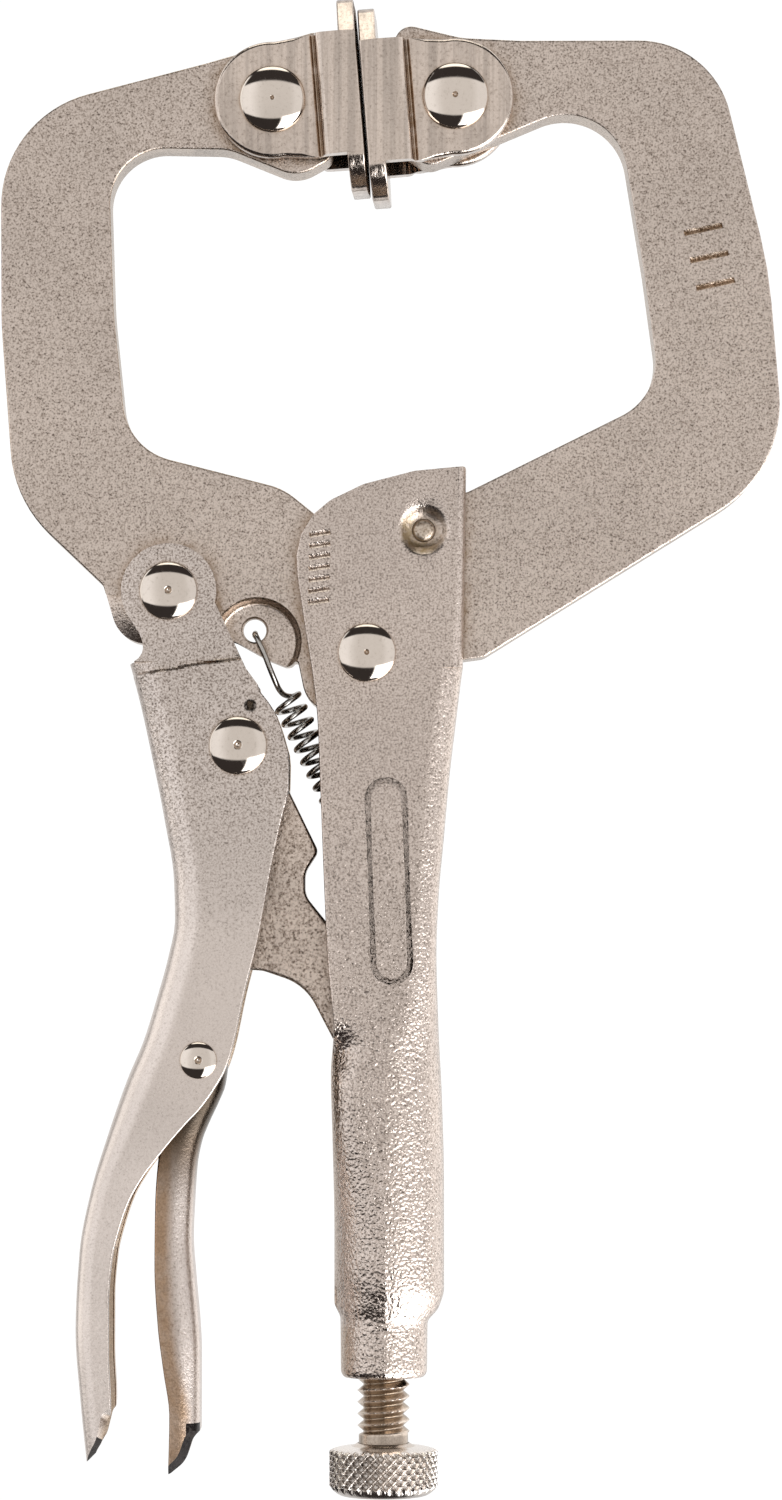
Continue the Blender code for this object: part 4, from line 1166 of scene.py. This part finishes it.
screw = thread("adjusting_screw_skin", KNOB_TOP + 0.05, SCREW_TIP)
# brown painted shade in the thread roots
set_tint(screw, lambda x, y, z: smooth01(below_crest(x, y, SCREW_R - 0.05) / 0.22))
set_tint(screw, screw_shade, "shade")
finish(screw, M_SCREW, "screw", sharp=45, weighted=False)

# =====================================================================
# knurled head: two sets of raised helical ribs round square pits
# =====================================================================
KNURL_RIBS = 31
KNURL_TOP, KNURL_LOW = KNOB_TOP - 0.42, KNOB_BOTTOM + 0.86
# radius, height from the head's top: shank seat, low filleted collar, shoulder
KNOB_UPPER = [
    (0.0, 0), (2.28, 0), (2.30, 0.30), (2.42, 0.28), (2.62, 0.13), (2.9, 0.02), (3.3, -0.02),
    (3.8, -0.08), (4.3, -0.18), (4.62, -0.28), (4.84, -0.37),
]
# radius, height from the head's bottom
KNOB_LOWER = [
    (4.84, 0.76), (4.62, 0.50), (4.3, 0.22), (4.0, 0.05), (3.85, 0), (3.3, 0.02), (2.2, 0.1),
    (0.0, 0.12),
]


def knurl(x, y, z):
    radius = hypot(x, y)
    keep = 1.0
    if radius >= 4.2:
        pitch = 2 * pi * KNOB_R / KNURL_RIBS
        around = atan2(y, x) * KNOB_R
        rib = max(abs(2 * (((around + way * z) / pitch) % 1.0) - 1) for way in (1, -1))
        height = max(0.0, (rib - 0.45) / 0.55) ** 1.15
        inside = smooth01((z - (KNURL_LOW - 0.35)) / 0.45) * (1 - smooth01((z - KNURL_TOP) / 0.22))
        keep = (radius - 0.48 * (1 - height) * inside) / radius
    return x * keep, y * keep, z


def knob_painted_shade(x, y, z):
    """Painted shade in the knurling's pits, heavier on the left, and over the bottom end."""
    if z < KNOB_BOTTOM + 0.55:
        return 0.45
    if z > KNOB_TOP - 0.38:
        return 0.0
    left = smooth01((SCREW_X + 1.5 - x) / 4.5)
    return (0.22 + 0.32 * left) * smooth01(below_crest(x, y, KNOB_R - 0.05) / 0.34)


knob_profile = (
    [(r, KNOB_TOP + z) for r, z in KNOB_UPPER]
    + [(KNOB_R, z) for z in reversed(steps(KNURL_LOW, KNURL_TOP, 0.045))]
    + [(r, KNOB_BOTTOM + z) for r, z in KNOB_LOWER]
)
knob = turned("screw_knob_skin", knob_profile, count=420, axis="Z")
reshape(knob, knurl)
knob.data.transform(Matrix.Translation((SCREW_X * MM, 0, 0)))
set_tint(knob, knob_painted_shade, "shade")
finish(knob, M_KNOB, "knob", sharp=60, weighted=False)
knob.data.materials.append(M_SCREW)
for face in knob.data.polygons:  # the collar round the shank is as dull as the shank
    x, y, z = face.center / MM
    if hypot(x - SCREW_X, y) < 2.95 and z > KNOB_TOP - 0.01:
        face.material_index = 1


# =====================================================================
# return spring
# =====================================================================
def sweep(name, path, wire_r, count=14):
    """Round wire along a polyline, with frames carried along it."""
    points = [Vector(p) for p in path]
    last = len(points) - 1
    rings = []
    normal = Vector((0.2, 1.0, 0.1))
    for i, p in enumerate(points):
        ahead = (points[min(i + 1, last)] - points[max(i - 1, 0)]).normalized()
        normal = (normal - ahead * normal.dot(ahead)).normalized()
        side = ahead.cross(normal)
        radius = wire_r * (0.7 if i in (0, last) else 1.0)
        rings.append([
            tuple(p + (normal * cos(tau * k / count) + side * sin(tau * k / count)) * radius)
            for k in range(count)
        ])
    return loft(name, rings)


def catmull(controls):
    """Smooth curve through control points, eight steps to a span."""
    points = [Vector(p) for p in controls]
    points = [points[0] * 2 - points[1]] + points + [points[-1] * 2 - points[-2]]
    curve = []
    for a, b, c, d in zip(points, points[1:], points[2:], points[3:]):
        for k in range(8):
            t = k / 8
            curve.append(0.5 * ((2 * b) + (c - a) * t + (2 * a - 5 * b + 4 * c - d) * t * t
                                + (3 * b - a - 3 * c + d) * t * t * t))
    curve.append(points[-2])
    return curve


def spring_path():
    """Hook through the jaw's hole, 10.75 turns of 40 points, hook round the handle's tab."""
    start, end = Vector((-7.3, 0, -4.06)), Vector((-1.2, 0, -16.6))
    axis = (end - start).normalized()
    side = Vector((0, -1, 0))
    other = axis.cross(side)
    count = int(40 * 10.75)
    coil = []
    for i in range(count + 1):
        angle = 2 * pi * i / 40 - pi / 2
        centre = start + axis * ((end - start).length * i / count)
        coil.append(centre + (side * cos(angle) + other * sin(angle)) * COIL_R)
    x, z = SPRING_HOLE
    lead = catmull([
        (x, 1.1, z - 0.1), (x, 0.4, z - 0.42), (x, -0.6, z - 0.42), (x + 0.05, -1.35, z - 0.4),
        (x + 0.32, -1.74, z - 0.95), (-9.3, -1.78, 0.0), (-8.8, -1.72, -1.3), (-8.3, -1.3, -2.5),
        (-7.95, -0.6, -3.2), (-7.5, 0.3, -3.62), (-6.85, 0.85, -3.72), coil[0],
    ])
    x, z = SPRING_TAB
    tail = catmull([
        coil[-1], (-0.55, -1.28, -17.3), (x - 0.7, -1.28, z + 0.7), (x - 0.1, -1.2, z - 0.4),
        (x, -0.8, z - 1.0), (x, 0.0, z - 1.2), (x, 0.8, z - 1.0), (x, 1.2, z - 0.4),
        (x, 1.25, z + 0.5),
    ])
    return lead[:-1] + coil + tail[1:]


spring = sweep("return_spring_skin", spring_path(), WIRE_R)
finish(spring, M_SPRING, None, sharp=60, weighted=False)
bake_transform(spring)

# =====================================================================
# pale floor
# =====================================================================
FLOOR_Z = KNOB_BOTTOM - 6.4  # clear of the thumb screw when it is backed right out
STAGE_WHITE = 1.05  # glow of the floor and of the backdrop the camera sees

bpy.ops.mesh.primitive_circle_add(vertices=96, radius=3.0, fill_type="NGON",
                                  location=ORIGIN + Vector((0, 0, FLOOR_Z)) * MM)
floor = bpy.context.object
floor.name = "floor"
floor.visible_glossy = False  # the metal mirrors the softboxes, not the floor


def floor_material():
    """White glow that gives way to a matt surface near the clamp, where its shadow falls."""
    material = bpy.data.materials.new("floor_pale")
    material.use_nodes = True
    nodes = Nodes(material.node_tree)
    bsdf = material.node_tree.nodes["Principled BSDF"]
    bsdf.inputs["Roughness"].default_value = 0.9
    bsdf.inputs["Specular IOR Level"].default_value = 0.0
    place = nodes.add("ShaderNodeTexCoord").outputs["Object"]
    pale = nodes.mix(nodes.noise(place, scale=30.0), (0.90, 0.90, 0.90), (0.94, 0.94, 0.94))
    nodes.put(bsdf.inputs["Base Color"], pale)
    glow = nodes.add("ShaderNodeEmission")
    glow.inputs["Color"].default_value = (1, 1, 1, 1)
    glow.inputs["Strength"].default_value = STAGE_WHITE
    distance = nodes.add("ShaderNodeVectorMath", operation="LENGTH")
    nodes.put(distance.inputs[0], place)
    near = nodes.ramp(distance.outputs["Value"], span=(0.012, 0.05), gives=(0.14, 0.0))
    camera_ray = nodes.add("ShaderNodeLightPath").outputs["Is Camera Ray"]
    unseen = nodes.times(nodes.math("SUBTRACT", 1.0, camera_ray), 0.55)
    matt = nodes.math("ADD", near, unseen, clamp=True)
    blend = nodes.add("ShaderNodeMixShader")
    nodes.put(blend.inputs[0], nodes.math("SUBTRACT", 1.0, matt))
    nodes.put(blend.inputs[1], bsdf.outputs[0])
    nodes.put(blend.inputs[2], glow.outputs[0])
    output = material.node_tree.nodes["Material Output"]
    nodes.put(output.inputs["Surface"], blend.outputs[0])
    return material


floor.data.materials.append(floor_material())

# =====================================================================
# softbox sky
# =====================================================================
# azimuth (0 towards the camera, positive to the right) and elevation ranges in degrees,
# softness of each, colour, strength
BOXES = [
    ((-75, 100, -19, 31), (6.0, 2.0), (1.0, 0.965, 0.935), 0.85),  # broad front panel
    ((-75, -22, -19, 31), (14.0, 2.0), (1.0, 0.985, 0.98), 1.16),  # its left end, cooler
    ((28, 100, -19, 31), (9.0, 2.0), (1.0, 0.975, 0.96), 0.98),  # its right end
    ((14, 122, -62, -17), (4.0, 2.5), (1.0, 1.0, 1.0), 4.9),  # strong lamp, low right
    ((-120, -75, -14, 50), (12.0, 5.0), (1.0, 0.98, 0.96), 1.35),  # left side panel
    ((100, 150, -45, 60), (12.0, 8.0), (1.0, 0.98, 0.96), 1.45),  # right side panel
]


def sky_colour(nodes):
    x, y, z = nodes.split(nodes.add("ShaderNodeTexCoord").outputs["Generated"])
    azimuth = nodes.times(nodes.math("ARCTAN2", x, nodes.times(y, -1.0)), 180 / pi)
    elevation = nodes.times(nodes.math("ARCSINE", z), 180 / pi)

    def between(angle, low, high, soft):
        return nodes.times(nodes.ramp(angle, span=(low - soft, low + soft)),
                           nodes.ramp(angle, span=(high - soft, high + soft), gives=(1.0, 0.0)))

    overhead = nodes.ramp(elevation, span=(62.0, 70.0))
    behind = nodes.math("MAXIMUM", nodes.ramp(azimuth, span=(118.0, 140.0)),
                        nodes.ramp(azimuth, span=(-140.0, -118.0), gives=(1.0, 0.0)))
    behind = nodes.times(behind, nodes.ramp(elevation, span=(-58.0, -42.0)))
    colour = nodes.mix(overhead, (0.045, 0.038, 0.036), (1.9, 1.84, 1.68))
    colour = nodes.mix(behind, colour, (0.92, 0.91, 0.90))
    for (left, right, low, high), (soft_side, soft_up), rgb, power in BOXES:
        mask = nodes.times(between(azimuth, left, right, soft_side),
                           between(elevation, low, high, soft_up))
        colour = nodes.mix(mask, colour, tuple(c * power for c in rgb))
    return colour


world = bpy.data.worlds.new("studio")
bpy.context.scene.world = world
world.use_nodes = True
sky = Nodes(world.node_tree)
softboxes = world.node_tree.nodes["Background"]
sky.put(softboxes.inputs["Color"], sky_colour(sky))
softboxes.inputs["Strength"].default_value = 1.0
white = sky.add("ShaderNodeBackground")  # all that the camera itself sees
white.inputs["Color"].default_value = (1, 1, 1, 1)
white.inputs["Strength"].default_value = STAGE_WHITE
choice = sky.add("ShaderNodeMixShader")
sky.put(choice.inputs[0], sky.add("ShaderNodeLightPath").outputs["Is Camera Ray"])
sky.put(choice.inputs[1], softboxes.outputs[0])
sky.put(choice.inputs[2], white.outputs[0])
sky.put(world.node_tree.nodes["World Output"].inputs["Surface"], choice.outputs[0])

# =====================================================================
# camera
# =====================================================================
CAMERA_X = 2.184

cam_data = bpy.data.cameras.new("camera")
camera = bpy.data.objects.new("camera", cam_data)
bpy.context.scene.collection.objects.link(camera)
camera.location = ORIGIN + Vector((CAMERA_X, -455.0, -25.025)) * MM
aim = ORIGIN + Vector((CAMERA_X, 0, -8.645)) * MM
camera.rotation_euler = (aim - camera.location).to_track_quat("-Z", "Y").to_euler()
cam_data.sensor_width = 36.0
cam_data.lens = 120.08
cam_data.clip_start = 0.01
cam_data.clip_end = 20.0
bpy.context.scene.camera = camera
bpy.context.scene.view_settings.view_transform = "Standard"
bpy.context.scene.view_settings.look = "None"
